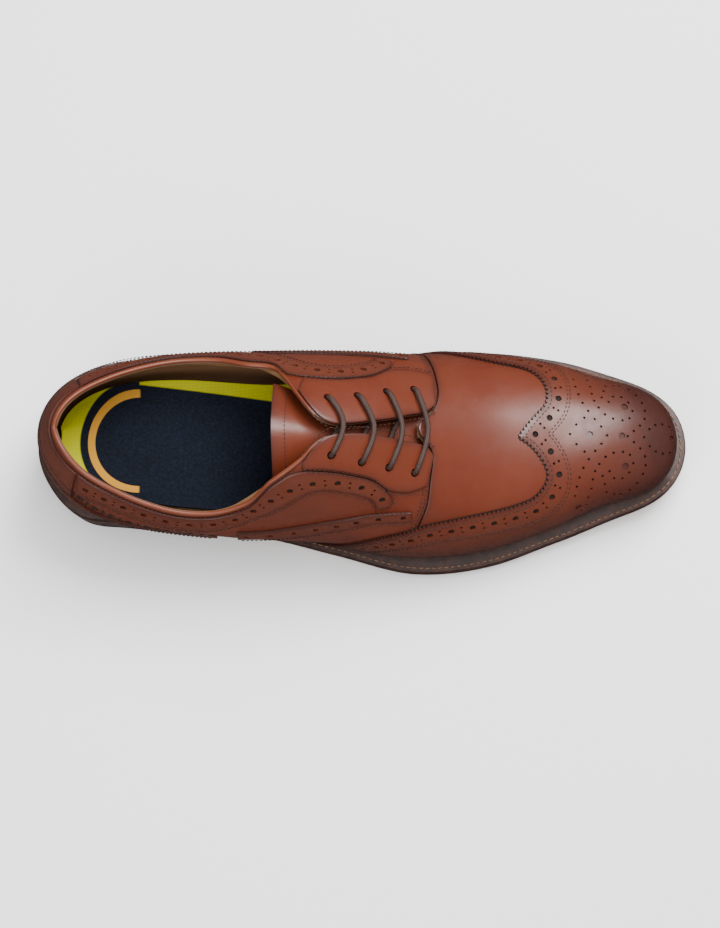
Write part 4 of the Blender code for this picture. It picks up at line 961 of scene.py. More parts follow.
holes, rows = [], []
for side, word in sides:
    edge = topline(side, BINDING + SEAM, 400)
    turn = PATTERN[side].find(edge[:, 0], edge[:, 1])[0]
    corner = graded(BAND_TOP[side])[0, 0]
    start = turn_at(HEEL_X + UPPER * (BACK_TAB_END + 0.001))
    upper = edge[(turn > start) & (edge[:, 0] < corner - 0.002)]
    upper = join(upper, drawn(side, BAND_TOP[side], 60))
    lower = drawn(side, BAND_LOW[side], 200)
    flat = fine_grid(resample(upper, 400), resample(lower, 400), 14, 170)
    piece = panel(f"top_band_{word}_leather", flat, TOP_LAYER)
    middle = (resample(upper, 300) + resample(lower, 300)) / 2
    spots = brogue_line(middle, 0.006, 0.005)
    punch_through(piece, spots, TOP_LAYER[0] - PUNCH, TOP_LAYER[1] + PUNCH)
    holes += spots
    rows += [(offset(resample(lower, 300), side * 0.0010)[3:-3], TOP_LAYER[1]),
             (offset(resample(upper, 300), -side * 0.0010)[3:-3], TOP_LAYER[1])]
    dress(piece, calf_trim, f"top_band_{word}")

    a, b = (resample(drawn(side, line, 60), 120) for line in LOW_BAND[side])
    piece = panel(f"side_band_{word}_leather", fine_grid(a, b, 6, 80), TOP_LAYER)
    spots = brogue_line((a + b) / 2, 0.004, 0.004)
    spots = [(place, radius * 0.9) for place, radius in spots if radius > 0.001]
    punch_through(piece, spots, TOP_LAYER[0] - PUNCH, TOP_LAYER[1] + PUNCH)
    holes += spots
    rows += [(offset(a, -side * 0.0006)[2:-2], TOP_LAYER[1]), (offset(b, side * 0.0006)[2:-2], TOP_LAYER[1])]
    dress(piece, calf_trim, f"side_band_{word}")

    edge = topline(side, BINDING + SEAM, 400)
    inner = edge[edge[:, 0] > graded(FACING[side])[2, 0]]
    outer = graded(BAND_TOP[side])[1:6] + [0, -side * 0.0009]
    outer = np.concatenate([outer, [graded(FRONT[side])[2] - [0.0012, 0]]])
    outer = curve(PATTERN[side].from_plan(outer[:, 0], outer[:, 1]), 120)
    flat = fine_grid(resample(inner, 200), resample(outer, 200), 22, 60)
    piece = panel(f"eyelet_tab_{word}_leather", flat, TOP_LAYER)
    punch_through(piece, eyelet_places[side], TOP_LAYER[0] - 0.001, TOP_LAYER[1] + 0.001)
    rows += [(offset(outer, side * 0.0011)[3:-3], TOP_LAYER[1]),
             (offset(resample(inner, 160), -side * 0.0022)[4:-6], TOP_LAYER[1])]
    dress(piece, calf_main, f"eyelet_tab_{word}")


def round_heel(side_starts, height, count):
    """Flat line round the heel at a height over the ground, from the outside to the inside."""
    halves = []
    for side, stop in ((OUTSIDE, side_starts[0]), (INSIDE, side_starts[1])):
        turn = np.linspace(0, math.acos(1 - 2 * stop) / math.pi, count)
        halves.append(PATTERN[side].from_height(turn, height(turn)))
    return resample(join(halves[0][::-1], halves[1][1:]), 2 * count)


tab_top = round_heel((BACK_TAB_END,) * 2, lambda turn: topline_z(turn, BINDING + SEAM), 60)
tab_low = round_heel((BACK_TAB_END,) * 2, lambda turn: topline_z(turn, BACK_TAB_DEPTH), 60)
piece = panel("back_tab_leather", fine_grid(tab_top, tab_low, 24, 40), TOP_LAYER)
dress(piece, calf_trim, "back_tab")
rows.append((offset(tab_low, 0.0010)[2:-2], TOP_LAYER[1]))

foxing_edge = round_heel((FOXING_END[OUTSIDE], FOXING_END[INSIDE]), foxing_top, 160)
foxing_low = round_heel((FOXING_END[OUTSIDE], FOXING_END[INSIDE]), hem_z, 160)
foxing_grid = fine_grid(offset(foxing_edge, -PINKED_BACK), foxing_low, 22, 190)
piece = panel("heel_foxing_leather", foxing_grid, TOP_LAYER)
spots = brogue_line(offset(foxing_edge, -0.0050), 0.004, 0.004)
punch_through(piece, spots, TOP_LAYER[0] - PUNCH, TOP_LAYER[1] + PUNCH)
holes += spots
teeth = pinked("foxing_teeth", foxing_edge, -1, TOP_LAYER)
piece = join_pieces("heel_foxing_leather", [piece, teeth])
dress(piece, calf_wing, "heel_foxing")
rows += [(offset(foxing_edge, -0.0022)[3:-3], TOP_LAYER[1]), (offset(foxing_edge, -0.0080)[8:-8], TOP_LAYER[1])]

# Wing cap.
# The toe's leather, which runs back along both sides in wings. Its upper edge is pinked, a row of brogue
# holes follows it between two rows of stitches, and a medallion of holes is punched over the toe.
WING = {
    OUTSIDE: ((71.9, 3.1), (78.1, -3.1), (83.7, -7.9), (85.3, -14), (83.7, -19.9), (78.7, -24.6), (71.2, -27.9),
              (62.3, -30.6), (53.1, -32.8), (44.2, -35), (35.1, -37), (26.4, -39), (18.8, -41.3), (9, -42.9),
              (-0.1, -43.9), (-9.6, -44.4)),
    INSIDE: ((71.9, 3.1), (79.2, 12.7), (84.2, 18.3), (85.8, 23.2), (84.6, 27.8), (80.7, 34.2), (73.8, 37.6),
             (65, 39.4), (53.9, 42), (44.9, 44.2), (36.3, 46.6)),
}
WING_END = {OUTSIDE: .370, INSIDE: .545}


def wing_edge(side, count):
    line = drawn(side, WING[side], 40)
    end = PATTERN[side].feather(np.array([math.acos(1 - 2 * WING_END[side]) / math.pi]), LOWEST)
    return curve(join(line[::3], end), count)


wing_line = resample(join(wing_edge(OUTSIDE, 160)[::-1], wing_edge(INSIDE, 160)[1:]), 700)
wing_low = join(hem(OUTSIDE, WING_END[OUTSIDE], 1, 300), hem(INSIDE, WING_END[INSIDE], 1, 300)[::-1][1:])
wing_grid = fine_grid(offset(wing_line, -PINKED_BACK), resample(wing_low, 700), 70, 330)
wing = panel("wing_cap_leather", wing_grid, TOP_LAYER)
PEAK_Y = 0.0031              # the wing's peak, off the middle line
centre = int(np.argmin(np.abs(wing_line[:, 1] - PEAK_Y) + (wing_line[:, 0] < 0.05)))


def inside_wing(distance):
    """The wing's edge moved into the cap by a distance, as its outside half and its inside half from the centre."""
    moved = offset(wing_line, -distance)
    away = np.array([np.hypot(*(wing_line - place).T).min() for place in moved]) > distance * 0.985
    number = np.arange(len(moved))
    outer, inner = moved[away & (number < centre)][::-1], moved[away & (number > centre)]
    apex = (outer[:1] + inner[:1]) / 2
    return join(apex, outer[1:]), join(apex, inner[1:])


wing_spots = []
for half in inside_wing(0.0054):
    wing_spots += brogue_line(resample(half, 400), 0.0, 0.006, centred=True)[(1 if wing_spots else 0):]
MEDALLION = (
    (98.6, 4.6), (102.4, 7.9), (107.3, 7.4), (104.3, 11.2), (101.8, 15.1), (100.0, 19.3), (98.8, 23.2), (98.0, 27.0),
    (109.2, 13.1), (107.3, 16.3), (106.3, 19.8), (105.7, 23.6), (104.5, 27.0), (112.1, 9.8), (110.2, 4.0),
    (114.1, 16.0), (110.9, 18.1), (112.0, 21.4), (113.1, 24.4), (116.3, 18.8), (120.2, 18.7), (116.9, 24.8),
    (119.9, 24.6), (123.4, 16.1), (124.1, 22.9), (125.2, 12.1), (123.6, 8.5), (120.3, 7.3), (115.9, 7.9),
    (125.5, 2.6), (128.5, 5.3), (130.8, 8.7), (131.1, 12.6), (129.9, 16.4), (127.3, 20.2),
    (133.0, 4.0), (135.9, 6.2), (139.3, 6.8), (142.6, 6.0), (103.9, 29.7), (101.7, 31.8),
)
MEDALLION_MIDDLE = ((95.6, 0), (112.9, 0), (122.6, 0), (130.4, 0))
MEDALLION_LARGE = ((104.9, 0), (119.9, 0), (121.5, 13.9), (121.5, -13.6), (143.6, 0.5), (99.5, 33.5), (100, -31))
MEDALLION_Y, MEDALLION_HOLE = 4.6, 0.00165
plan = [(x, MEDALLION_Y + y * way, SMALL_HOLE) for x, y in MEDALLION for way in (1, -1)]
plan += [(x, MEDALLION_Y + y, SMALL_HOLE) for x, y in MEDALLION_MIDDLE]
plan += [(x, MEDALLION_Y + y, MEDALLION_HOLE) for x, y in MEDALLION_LARGE]
plan = np.array(plan)
at = graded(plan[:, :2])
inner = at[:, 1] > np.array([ridge_at(x) for x in at[:, 0]])
for side, own in ((INSIDE, inner), (OUTSIDE, ~inner)):
    places = PATTERN[side].from_plan(at[own, 0], at[own, 1])
    wing_spots += list(zip(places, plan[own, 2]))
punch_through(wing, wing_spots, TOP_LAYER[0] - PUNCH, TOP_LAYER[1] + PUNCH)
holes += [spot for spot in wing_spots if spot[1] < MEDALLION_HOLE]
wing = join_pieces("wing_cap_leather", [wing, pinked("wing_teeth", wing_line, -1, TOP_LAYER)])
dress(wing, calf_wing, "wing_cap")
for distance in (0.0021, 0.0096, 0.0109):
    rows += [(half, TOP_LAYER[1]) for half in inside_wing(distance)]


def notch_shade_strip(name, line, inward, height):
    """Dark strip under a pinked edge, showing in its notches: painted shadow of the gap under the teeth, and the dark
    of their dyed cut edges.
    """
    out, back = offset(line, -inward * 0.0004), offset(line, inward * 0.0014)
    flat = np.stack([resample(out, 400), resample(back, 400)])
    height = np.full(flat.shape[:2], height)
    points, faces = shell(skin(flat, height), skin(flat, height + 0.0001))
    return closed_mesh(name, points, faces)


# Dark discs under the brogue holes are painted shade in the holes; the leather under them is cognac.
pit_shade = prisms("hole_and_notch_shade", holes, BASE_LAYER[1] + 0.00002, BASE_LAYER[1] + 0.00012, grow=1.2)
pit_shade = join_pieces("hole_and_notch_shade", [pit_shade, notch_shade_strip("wing_notch_shade", wing_line, -1, BASE_LAYER[1] + 0.00003),
                                       notch_shade_strip("foxing_notch_shade", foxing_edge, -1, BASE_LAYER[1] + 0.00003)])
dress(pit_shade, plain_material("painted_hole_and_notch_shade", (0.012, 0.008, 0.006), 0.9), slot="wing_cap")
# The large medallion holes show backing leather of the upper's own colour; it is coloured darker here as painted
# shade in the holes.
large = [spot for spot in wing_spots if spot[1] >= MEDALLION_HOLE]
under_cap = prisms("medallion_backing", large, TOP_LAYER[0] - 0.0002, TOP_LAYER[0] + 0.0002, grow=1.1)
shaded_pit_calf = calf_leather("medallion_calf", colour=(0.050, 0.014, 0.008), roughness=0.30)
dress(under_cap, shaded_pit_calf, slot="wing_cap")

# Seams.
# Waxed thread in short even stitches: along every trim's edges, in a double row down the front of each
# quarter, and once round the bound topline.
for side, word in sides:
    front = front_edge(side, 0, 120)
    rows += [(front[6:] - [0.0013, 0], BASE_LAYER[1]), (front[6:] - [0.0027, 0], BASE_LAYER[1])]
thread = plain_material("waxed_thread", THREAD_BROWN, 0.55, scale=2500)
dress(stitching("upper_stitches", rows), thread, slot="vamp")

# Topline binding.
# A soft strip of lighter calf folded over the edge of quarter and lining, rolled round the whole opening.
ROLL = ((1.0, .0027), (.55, .00265), (.15, .0027), (-.06, .0030), (-.15, .0035), (-.13, .0040), (.02, .0044),
        (.35, .0047), (.70, .00465), (.95, .0045), (1.0, .0040), (1.0, .0032))
ROLL_MIDDLE = 0.0037         # height of the roll's middle off the last


def tube_faces(count, around):
    """Faces of a closed tube: rings of points one after another, with a flat face at either end."""
    faces = [(i * around + j, i * around + (j + 1) % around, (i + 1) * around + (j + 1) % around,
              (i + 1) * around + j) for i in range(count - 1) for j in range(around)]
    return faces + [tuple(range(around))[::-1], tuple((count - 1) * around + j for j in range(around))]


stations = []
for side in (OUTSIDE, INSIDE):
    top, low = topline(side, 0, 500), topline(side, BINDING, 500)
    keep = top[:, 0] < graded(FACING[side])[3, 0] + 0.001
    top, low = resample(top[keep], 220), resample(low[keep], 220)
    stations.append((top, low))
top = join(stations[0][0][::-1], stations[1][0][1:])
low = join(stations[0][1][::-1], stations[1][1][1:])
taper = np.clip(np.minimum(np.arange(len(top)), np.arange(len(top))[::-1]) / 6.0, 0.15, 1)
down = low - top
rings = []
for place, lift in ROLL:
    flat = top + down * place
    rings.append(skin(flat, ROLL_MIDDLE + (lift - ROLL_MIDDLE) * taper))
rings = np.array(rings)
count, around = rings.shape[1], len(ROLL)
points = rings.transpose(1, 0, 2).reshape(-1, 3)
faces = tube_faces(count, around)
# Painted shade: the roll is coloured darker down both its sides, where it turns in against the quarter and the
# lining, than over its top.
edge_dye_and_shade = np.tile([1, 0.8, 0.3, 0, 0, 0, 0, 0.1, 0.4, 0.8, 1, 1], count)
binding = closed_mesh("topline_roll", points, faces, edge_dye_and_shade, smooth=80)
dress(binding, calf_leather("binding_calf", colour=(0.125, 0.027, 0.011), toe=0.0, roughness=0.42), "topline_binding")

# Tongue.
# A piece of calf over lining leather, sewn in under the vamp. Its free end is pinked, with one row of
# stitches just inside.
TONGUE_TIP, TONGUE_ROOT = -40.5, 45.0       # drawn places of the tongue's ends
TIP_ROUND = 0.0012           # how far the tip's middle stands out
TONGUE_HALF = ((-41.5, 29.5), (-30, 27.5), (-20, 22.5), (-8, 19.5), (15, 17.5), (45, 20))
# How far the tongue lies under the last.
TONGUE_DROP = ((-60, .0018), (-40, .0018), (-28, .0040), (18, .0040), (34, .0022), (46, .0014))


def tongue_grid(rows_down, columns):
    span = np.linspace(TONGUE_TIP, TONGUE_ROOT, rows_down)
    half = spline(TONGUE_HALF, span)
    plan = np.stack([np.repeat(span[:, None], columns, 1), half[:, None] * np.linspace(-1, 1, columns)], -1)
    plan = graded(plan)
    middle = np.array([ridge_at(x) for x in plan[:, 0, 0]])[:, None]
    plan[..., 1] += middle
    near = np.clip((TONGUE_TIP + 24 - span) / 12, 0, 1)[:, None]
    plan[..., 0] -= TIP_ROUND * np.cos(np.linspace(-1.4, 1.4, columns))[None] * near
    flat = np.empty_like(plan)
    inner = plan[..., 1] > middle
    for side, own in ((INSIDE, inner), (OUTSIDE, ~inner)):
        flat[own] = PATTERN[side].from_plan(plan[own][:, 0], plan[own][:, 1])
    return flat


coarse = tongue_grid(20, 17)


def thicken(grid, factor):
    """The same grid with more rows and columns, smoothly."""
    for axis in (0, 1):
        old = np.arange(grid.shape[axis], dtype=float)
        new = np.linspace(0, old[-1], (grid.shape[axis] - 1) * factor + 1)
        moved = np.moveaxis(grid, axis, 0).reshape(len(old), -1)
        smooth = np.stack([spline(np.stack([old, column], -1), new) for column in moved.T], -1)
        grid = np.moveaxis(smooth.reshape(len(new), *np.moveaxis(grid, axis, 0).shape[1:]), 0, axis)
    return grid


flat = thicken(coarse, 4)
flat[0, 1::2] += (flat[1, 1::2] - flat[0, 1::2]) * 0.7


SOFTENING = 260              # passes that smooth the sheet across


def softened(grid):
    """A sheet that no longer follows the sharp ridge under it."""
    grid = grid.copy()
    for _ in range(SOFTENING):
        grid[:, 1:-1] = grid[:, 1:-1] / 2 + (grid[:, :-2] + grid[:, 2:]) / 4
    return grid


place = flat[..., 0] * STANDARD[0] / LENGTH
drop = np.maximum(spline(TONGUE_DROP, place), .0014)
tongue_top = softened(skin(flat, -drop))
points, faces = shell(softened(skin(flat, -drop - 0.0011)), tongue_top)
tongue = closed_mesh("tongue_leather", points, faces, np.tile(np.exp(-np.minimum(
    np.arange(flat.shape[0])[:, None], 60) / 2.0 + 0 * flat[..., 0]).ravel(), 2))
dress(tongue, calf_main, "tongue", body="tongue")
inner = flat[3:, 5:-5]
under = -drop[3:, 5:-5] - 0.0015
points, faces = shell(softened(skin(inner, under - 0.0007)), softened(skin(inner, under)))
soft = closed_mesh("tongue_lining_leather", points, faces, np.zeros(len(points)))
dress(soft, calf_lining, "tongue_lining", body="tongue")
TIP_STITCH = 6               # the row of the grid that the stitches follow


def stitch_row(name, verts, faces):
    mesh = bpy.data.meshes.new(name)
    mesh.from_pydata([tuple(v) for v in verts], [], faces)
    row = bpy.data.objects.new(name, mesh)
    bpy.context.scene.collection.objects.link(row)
    return row


tip_line = resample(tongue_top[TIP_STITCH, 3:-3], 26)
verts, faces = sew(tip_line, skin_out(resample(flat[TIP_STITCH, 3:-3], 26)))
dress(stitch_row("tongue_stitches", verts, faces), thread, body="tongue", slot="tongue")

# Welt and heel rand.
# A narrow strip of stained leather sewn to the upper, standing out round the forepart. Light stitches run
# along it, and from the waist back a plain rand takes its place.


def feather_outline(inset):
    """Plan of the last's bottom edge, set in."""
    def outline(side, turn):
        foot = last_point(side, turn, np.full(np.shape(turn), -UNDERCUT))
        _, _, out_x, out_y = widest(side, turn)
        return foot[..., 0] - out_x * inset, foot[..., 1] - out_y * inset
    return outline


WELT_END = {OUTSIDE: .30, INSIDE: .34}
EDGE_ROUND = 0.0006
sole_edge = plain_material("stained_edge", (0.032, 0.0105, 0.0065), 0.42, scale=260, depth=0.00008, vary=0.2)


def edge_strip(name, start, end, low, high, count):
    """Strip from the sole's outline in to the upper, with rounded corners, round the toe or the heel."""
    lines = []
    for outline in (sole_outline, feather_outline(0.0016)):
        halves = []
        for side in (OUTSIDE, INSIDE):
            turns = np.arccos(1 - 2 * np.linspace(start[side], end, 2400)) / math.pi
            halves.append(resample(np.stack(outline(side, turns), -1), count))
        lines.append(join(halves[0], halves[1][::-1][1:]))
    outer, inner = lines
    width = np.linalg.norm(inner - outer, axis=1, keepdims=True)
    section = ((1.0, high, 0), (EDGE_ROUND, high, 0), (EDGE_ROUND * 0.3, high, -EDGE_ROUND * 0.3),
               (0.0, high, -EDGE_ROUND), (0.0, low, EDGE_ROUND), (EDGE_ROUND * 0.3, low, EDGE_ROUND * 0.3),
               (EDGE_ROUND, low, 0), (1.0, low, 0))
    rings = []
    for inset, depth, lift in section:
        plan = inner if inset == 1.0 else outer + (inner - outer) * (inset / width)
        rings.append(np.column_stack([plan, seat_z(plan[:, 0]) - depth + lift]))
    around = len(section)
    points = np.stack(rings, 1).reshape(-1, 3)
    return closed_mesh(name, points, tube_faces(len(outer), around), smooth=50), outer, inner


welt, welt_outer, welt_inner = edge_strip("welt_strip", WELT_END, 1.0, WELT + FOLD + GAP, FOLD + GAP, 260)
dress(welt, sole_edge, "welt")
rand_start = {side: WELT_END[side] - 0.004 for side in WELT_END}
rand, _, _ = edge_strip("heel_rand_strip", rand_start, 0.0, WELT + FOLD + GAP, FOLD + GAP, 160)
dress(rand, sole_edge, "heel_rand")
inward = (welt_inner - welt_outer) / np.linalg.norm(welt_inner - welt_outer, axis=1, keepdims=True)
seam = resample(welt_outer + inward * 0.0023, 150)[2:-2]
seam = np.column_stack([seam, seat_z(seam[:, 0]) - FOLD - GAP])
verts, faces = sew(seam, np.tile([0.0, 0, 1], (len(seam), 1)), 0.0022, 0.00032)
welt_row = stitch_row("welt_stitches", verts, faces)
welt_row.data.shade_smooth()
dress(welt_row, plain_material("welt_thread", (0.20, 0.10, 0.055), 0.6, scale=2500), slot="welt")

# Outsole and stacked heel.
# A leather outsole with a stained, polished edge, on a heel of leather lifts that taper a little towards
# the ground and end in a rubber top piece. The fine lines between the lifts show.
HEEL_LIFTS, TOP_PIECE = 3, 0.0060
HEEL_TAPER = 0.0016          # how far the heel is set in at the ground


def slab(name, levels, end=1.0, count=220):
    """A flat piece with the sole's outline, given as its inset and height from bottom to top."""
    turns = np.linspace(0, end, count)
    loops = []
    for inset, height in levels:
        left, right = sole_outline(OUTSIDE, turns, inset), sole_outline(INSIDE, turns, inset)
        left, right = np.stack(left, -1), np.stack(right, -1)
        plan = join(left, right[::-1][:-1])
        loops.append(np.column_stack([plan, height(plan[:, 0])]))
    around = len(loops[0])
    points = np.concatenate(loops)
    faces = [(k * around + i, k * around + (i + 1) % around, (k + 1) * around + (i + 1) % around,
              (k + 1) * around + i) for k in range(len(levels) - 1) for i in range(around)]
    right_of = lambda i: 0 if i == 0 else 2 * count - 1 - i
    for first in (0, (len(levels) - 1) * around):
        for i in range(count - 1):
            face = (first + i, first + i + 1, first + right_of(i + 1), first + right_of(i))
            faces.append(tuple(dict.fromkeys(face)))
    return closed_mesh(name, points, [f for f in faces if len(set(f)) > 2], smooth=50)


def under(depth):
    return lambda x: seat_z(x) - depth


sole_bottom, sole_top = OUTSOLE + WELT + FOLD + 3 * GAP, WELT + FOLD + 2 * GAP
curve_in, near = EDGE_ROUND, EDGE_ROUND * 0.3
outsole = slab("outsole_leather", (
    (0.0025, under(sole_bottom)), (curve_in, under(sole_bottom)), (near, under(sole_bottom - near)),
    (0, under(sole_bottom - curve_in)), (0, under(sole_top + curve_in)), (near, under(sole_top + near)),
    (curve_in, under(sole_top)), (0.003, under(sole_top))))
dress(outsole, sole_edge, "outsole")
outsole.data.materials.append(plain_material("sole_leather", (0.30, 0.16, 0.08), 0.55, scale=60, vary=0.12))
for face in outsole.data.polygons:
    if face.normal.z < -0.7:
        face.material_index = 1

breast = turn_at(-LENGTH / 2 + HEEL_LENGTH, -LENGTH / 2, LENGTH)
heel_stack = plain_material("heel_stack", (0.055, 0.019, 0.012), 0.36, scale=200, depth=0.00006, vary=0.2)
rubber = plain_material("heel_rubber", (0.018, 0.015, 0.014), 0.7, scale=900, depth=0.0001)
lift_height = (HEEL_HEIGHT * 0.9 - TOP_PIECE) / HEEL_LIFTS
lifts = [("top_piece", 0.0, TOP_PIECE, rubber)]
lifts += [(f"heel_lift_{i + 1}", TOP_PIECE + i * lift_height, TOP_PIECE + (i + 1) * lift_height, heel_stack)
          for i in range(HEEL_LIFTS)]
lifts[-1] = (*lifts[-1][:2], None, heel_stack)
GROOVE = 0.00022             # fine line between two lifts
for name, low, high, material in lifts:
    inset = lambda z: HEEL_TAPER * (1 - z / HEEL_HEIGHT)
    flat_at = lambda z: (lambda x: 0 * x + z)
    top = under(sole_bottom + GAP * 0.3) if high is None else flat_at(high)
    shy = (lambda x: top(x) - GROOVE)
    lower, upper = inset(low), inset(HEEL_HEIGHT if high is None else high)
    piece = slab(f"{name}_stack", (
        (lower + 0.004, flat_at(low)), (lower + GROOVE * 1.5, flat_at(low)), (lower, flat_at(low + GROOVE)),
        (upper, shy), (upper + GROOVE * 1.5, top), (upper + 0.004, top)), end=breast, count=110)
    dress(piece, material, name)

# Footbed.
# A moulded foam bed, cupped round the heel and the arch, in a bright woven cover. Its middle is printed
# navy, with a plain gold arc round the heel.
CUP = ((0, .0095), (.10, .0090), (.30, .0085), (.48, .0050), (.60, .0016), (.75, .0006), (1, .0004))
turns, across = np.linspace(0.035, 0.965, 110), np.linspace(-1, 1, 45)
outline = feather_outline(0.0009)
left, right = outline(OUTSIDE, turns), outline(INSIDE, turns)
x = left[0][:, None] * (1 - across) / 2 + right[0][:, None] * (1 + across) / 2
y = left[1][:, None] * (1 - across) / 2 + right[1][:, None] * (1 + across) / 2
f = np.clip((x - HEEL_X) / UPPER, 0, 1)
rim = spline(CUP, f) * np.maximum(np.abs(across)[None, :], np.clip(1 - f / .07, 0, 1)) ** 4
bed = seat_z(x) + 0.0004 + rim
from_rim = np.minimum(1 - np.abs(across)[None, :] + 0 * x, 1)
soft_edge = 0.0009 * np.clip(1 - from_rim / 0.05, 0, 1) ** 2
points, faces = shell(np.stack([x, y, bed], -1), np.stack([x, y, bed + FOOTBED - soft_edge], -1))
footbed = closed_mesh("footbed_cover", points, faces, smooth=60)
cover = bpy.data.materials.new("printed_cover")
cover.use_nodes = True
tree = cover.node_tree
surface = tree.nodes["Principled BSDF"]
where = node(tree, "ShaderNodeTexCoord").outputs["Object"]
x_at, y_at, _ = node(tree, "ShaderNodeSeparateXYZ", {"Vector": where}).outputs


def plus(*values):
    total = values[0]
    for value in values[1:]:
        total = math_node(tree, "ADD", total, value)
    return total


def times(a, b):
    return math_node(tree, "MULTIPLY", a, b)


weave = times(math_node(tree, "SINE", times(plus(x_at, y_at), 5200.0)), math_node(tree, "SINE", times(
    math_node(tree, "SUBTRACT", x_at, y_at), 5200.0)))
HEEL_CENTRE, NAVY_REACH, GOLD_REACH, GOLD_WIDTH = (-0.1040, 0.0030), 0.0280, 0.0226, 0.0017
dx, dy = plus(x_at, -HEEL_CENTRE[0]), plus(y_at, -HEEL_CENTRE[1])
reach = math_node(tree, "SQRT", plus(times(dx, dx), times(dy, dy)))
behind = ramp(tree, dx, 0.0005, -0.0005)
round_part = times(behind, ramp(tree, reach, NAVY_REACH + 0.0004, NAVY_REACH - 0.0004))
slant = plus(dy, times(dx, 0.085))
straight = times(ramp(tree, dx, -0.0045, -0.0035), times(ramp(tree, slant, 0.0266, 0.0258),
                                                        ramp(tree, slant, -0.0400, -0.0392)))
navy = math_node(tree, "MAXIMUM", round_part, straight)
off_arc = math_node(tree, "ABSOLUTE", plus(reach, -GOLD_REACH))
gold = times(ramp(tree, off_arc, GOLD_WIDTH + 0.0002, GOLD_WIDTH - 0.0002), ramp(tree, dx, 0.0006, -0.0006))
fibre = node(tree, "ShaderNodeTexNoise", {"Vector": where, "Scale": 900.0, "Detail": 4.0}).outputs["Fac"]
lime = mixed(tree, ramp(tree, weave, -0.6, 0.8), (0.27, 0.27, 0.0015, 1), (0.44, 0.44, 0.003, 1))
ink = mixed(tree, ramp(tree, fibre, 0.3, 0.75), (0.0015, 0.0024, 0.0052, 1), (0.0050, 0.0078, 0.0165, 1))
colour = mixed(tree, navy, lime, ink)
colour = mixed(tree, gold, colour, (0.42, 0.20, 0.022, 1))
tree.links.new(colour, surface.inputs["Base Color"])
surface.inputs["Roughness"].default_value = 0.9
surface.inputs["Specular IOR Level"].default_value = 0.15
bump = node(tree, "ShaderNodeBump", {"Height": plus(times(weave, 0.5), fibre), "Strength": 0.6, "Distance": 0.00015})
tree.links.new(bump.outputs["Normal"], surface.inputs["Normal"])
dress(footbed, cover, "footbed")

# Lace.
# One round waxed cotton lace, straight-laced over four pairs of eyelets, with both ends tucked inside the
# shoe. It is braided, so fine strands cross along its length.
OVER, MID, BELOW = 0.0079, 0.0028, -0.0023       # heights of the lace off the last: bars, holes and crossings
TURN = (OVER - BELOW) / 2                        # bend of the lace at an eyelet
QUARTER_TURN = np.radians([0, 30, 60, 90])
BOW = 0.0045                                     # how far each bar bows to the toe


def lace_run(start, end, height, bow):
    """Points of the lace from the middle of one eyelet hole to the middle of the next, with round turns."""
    along = end - start
    near = TURN * (1 - np.cos(QUARTER_TURN)) / np.hypot(*along)
    rise = MID + (height - MID) * np.sin(QUARTER_TURN)
    places = join(near, [0.34, 0.5, 0.66], 1 - near[::-1])
    heights = join(rise, [height] * 3, rise[::-1])
    flat = np.array([start + along * p + np.array([bow * math.sin(math.pi * p) ** 2, 0]) for p in places])
    return lasted(flat, heights)


# The lace's two ends, tucked inside: drawn place and height over the footbed, in millimetres.
TAILS = (
    ((28, -26.5, 38), (31, -28.5, 31), (34.5, -29.8, 24.5), (38.5, -30.5, 19), (45.5, -30, 12), (54, -27.5, 5.5),
     (63, -23, 2), (71, -16.5, 1.8), (76.5, -8, 1.8), (78, 1.5, 1.8), (74.5, 10.5, 1.8), (67, 16.5, 1.8),
     (57.5, 19, 1.8), (47.5, 18.5, 1.8)),
    ((-14.5, 22, 51), (-12.5, 26, 44.5), (-9.5, 29, 37.5), (-5, 31, 30.5), (1, 32, 23.5), (8, 32, 16.5),
     (16, 30.5, 10), (24, 27.5, 4.6), (30, 22, 2), (33, 14, 1.9), (32, 5, 1.9), (27, -3, 1.9), (19, -8, 1.9),
     (9.5, -10, 1.9)),
)
AGLET_LENGTH = 0.019


def tail_points(tail):
    rows = np.array(tail, float)
    plan = graded(rows[:, :2])
    floor = seat_z(plan[:, 0]) + 0.0004 + FOOTBED
    return np.column_stack([plan, floor + rows[:, 2] * 0.001])


def lace_route():
    """Whole route: one end, up through the outside eyelet nearest the toe, and back eyelet by eyelet."""
    flat = {side: [eyelet_flat(side, n) for n in range(4)] for side in (OUTSIDE, INSIDE)}
    runs = []
    for n in (3, 2, 1, 0):
        runs.append(lace_run(flat[OUTSIDE][n], flat[INSIDE][n], OVER, BOW))
        if n:
            runs.append(lace_run(flat[INSIDE][n], flat[OUTSIDE][n - 1], BELOW, 0))
    laced = join(runs[0], *[run[1:] for run in runs[1:]])
    ends = []
    for tail, side, n, out in zip(TAILS, (OUTSIDE, INSIDE), (3, 0), ((0.05, -1), (0.1, 1))):
        step = np.array(out) * TURN
        turned = 1 - np.cos(QUARTER_TURN[1:, None])
        under = lasted(flat[side][n] + step * turned, MID - TURN * np.sin(QUARTER_TURN[1:]))
        ends.append(join(under, tail_points(tail)))
    return join(ends[0][::-1], laced, ends[1])


route = lace_route()
fine = curve(route, 2400)
length = np.linalg.norm(np.diff(fine, axis=0), axis=1).sum()
skip = int(round((AGLET_LENGTH + GAP) / length * len(fine)))
path = resample(fine[skip:-skip], 1100)
run = np.gradient(path, axis=0)
run /= np.linalg.norm(run, axis=1, keepdims=True)
SIDES = 12
side = np.cross(run[0], [0, 0, 1.0])
frames = []
for step in run:
    side = side - step * (side @ step)
    side /= np.linalg.norm(side)
    frames.append((side, np.cross(step, side)))
angle = np.linspace(0, 2 * math.pi, SIDES, endpoint=False)
ring = np.array([[u * math.cos(a) + v * math.sin(a) for a in angle] for u, v in frames]) * LACE / 2
points = (path[:, None] + ring).reshape(-1, 3)
faces = tube_faces(len(path), SIDES)
mesh = bpy.data.meshes.new("lace_cord")
mesh.from_pydata(points.tolist(), [], faces)
uv = mesh.uv_layers.new(name="UVMap")
along = np.linspace(0, length / (math.pi * LACE), len(path))
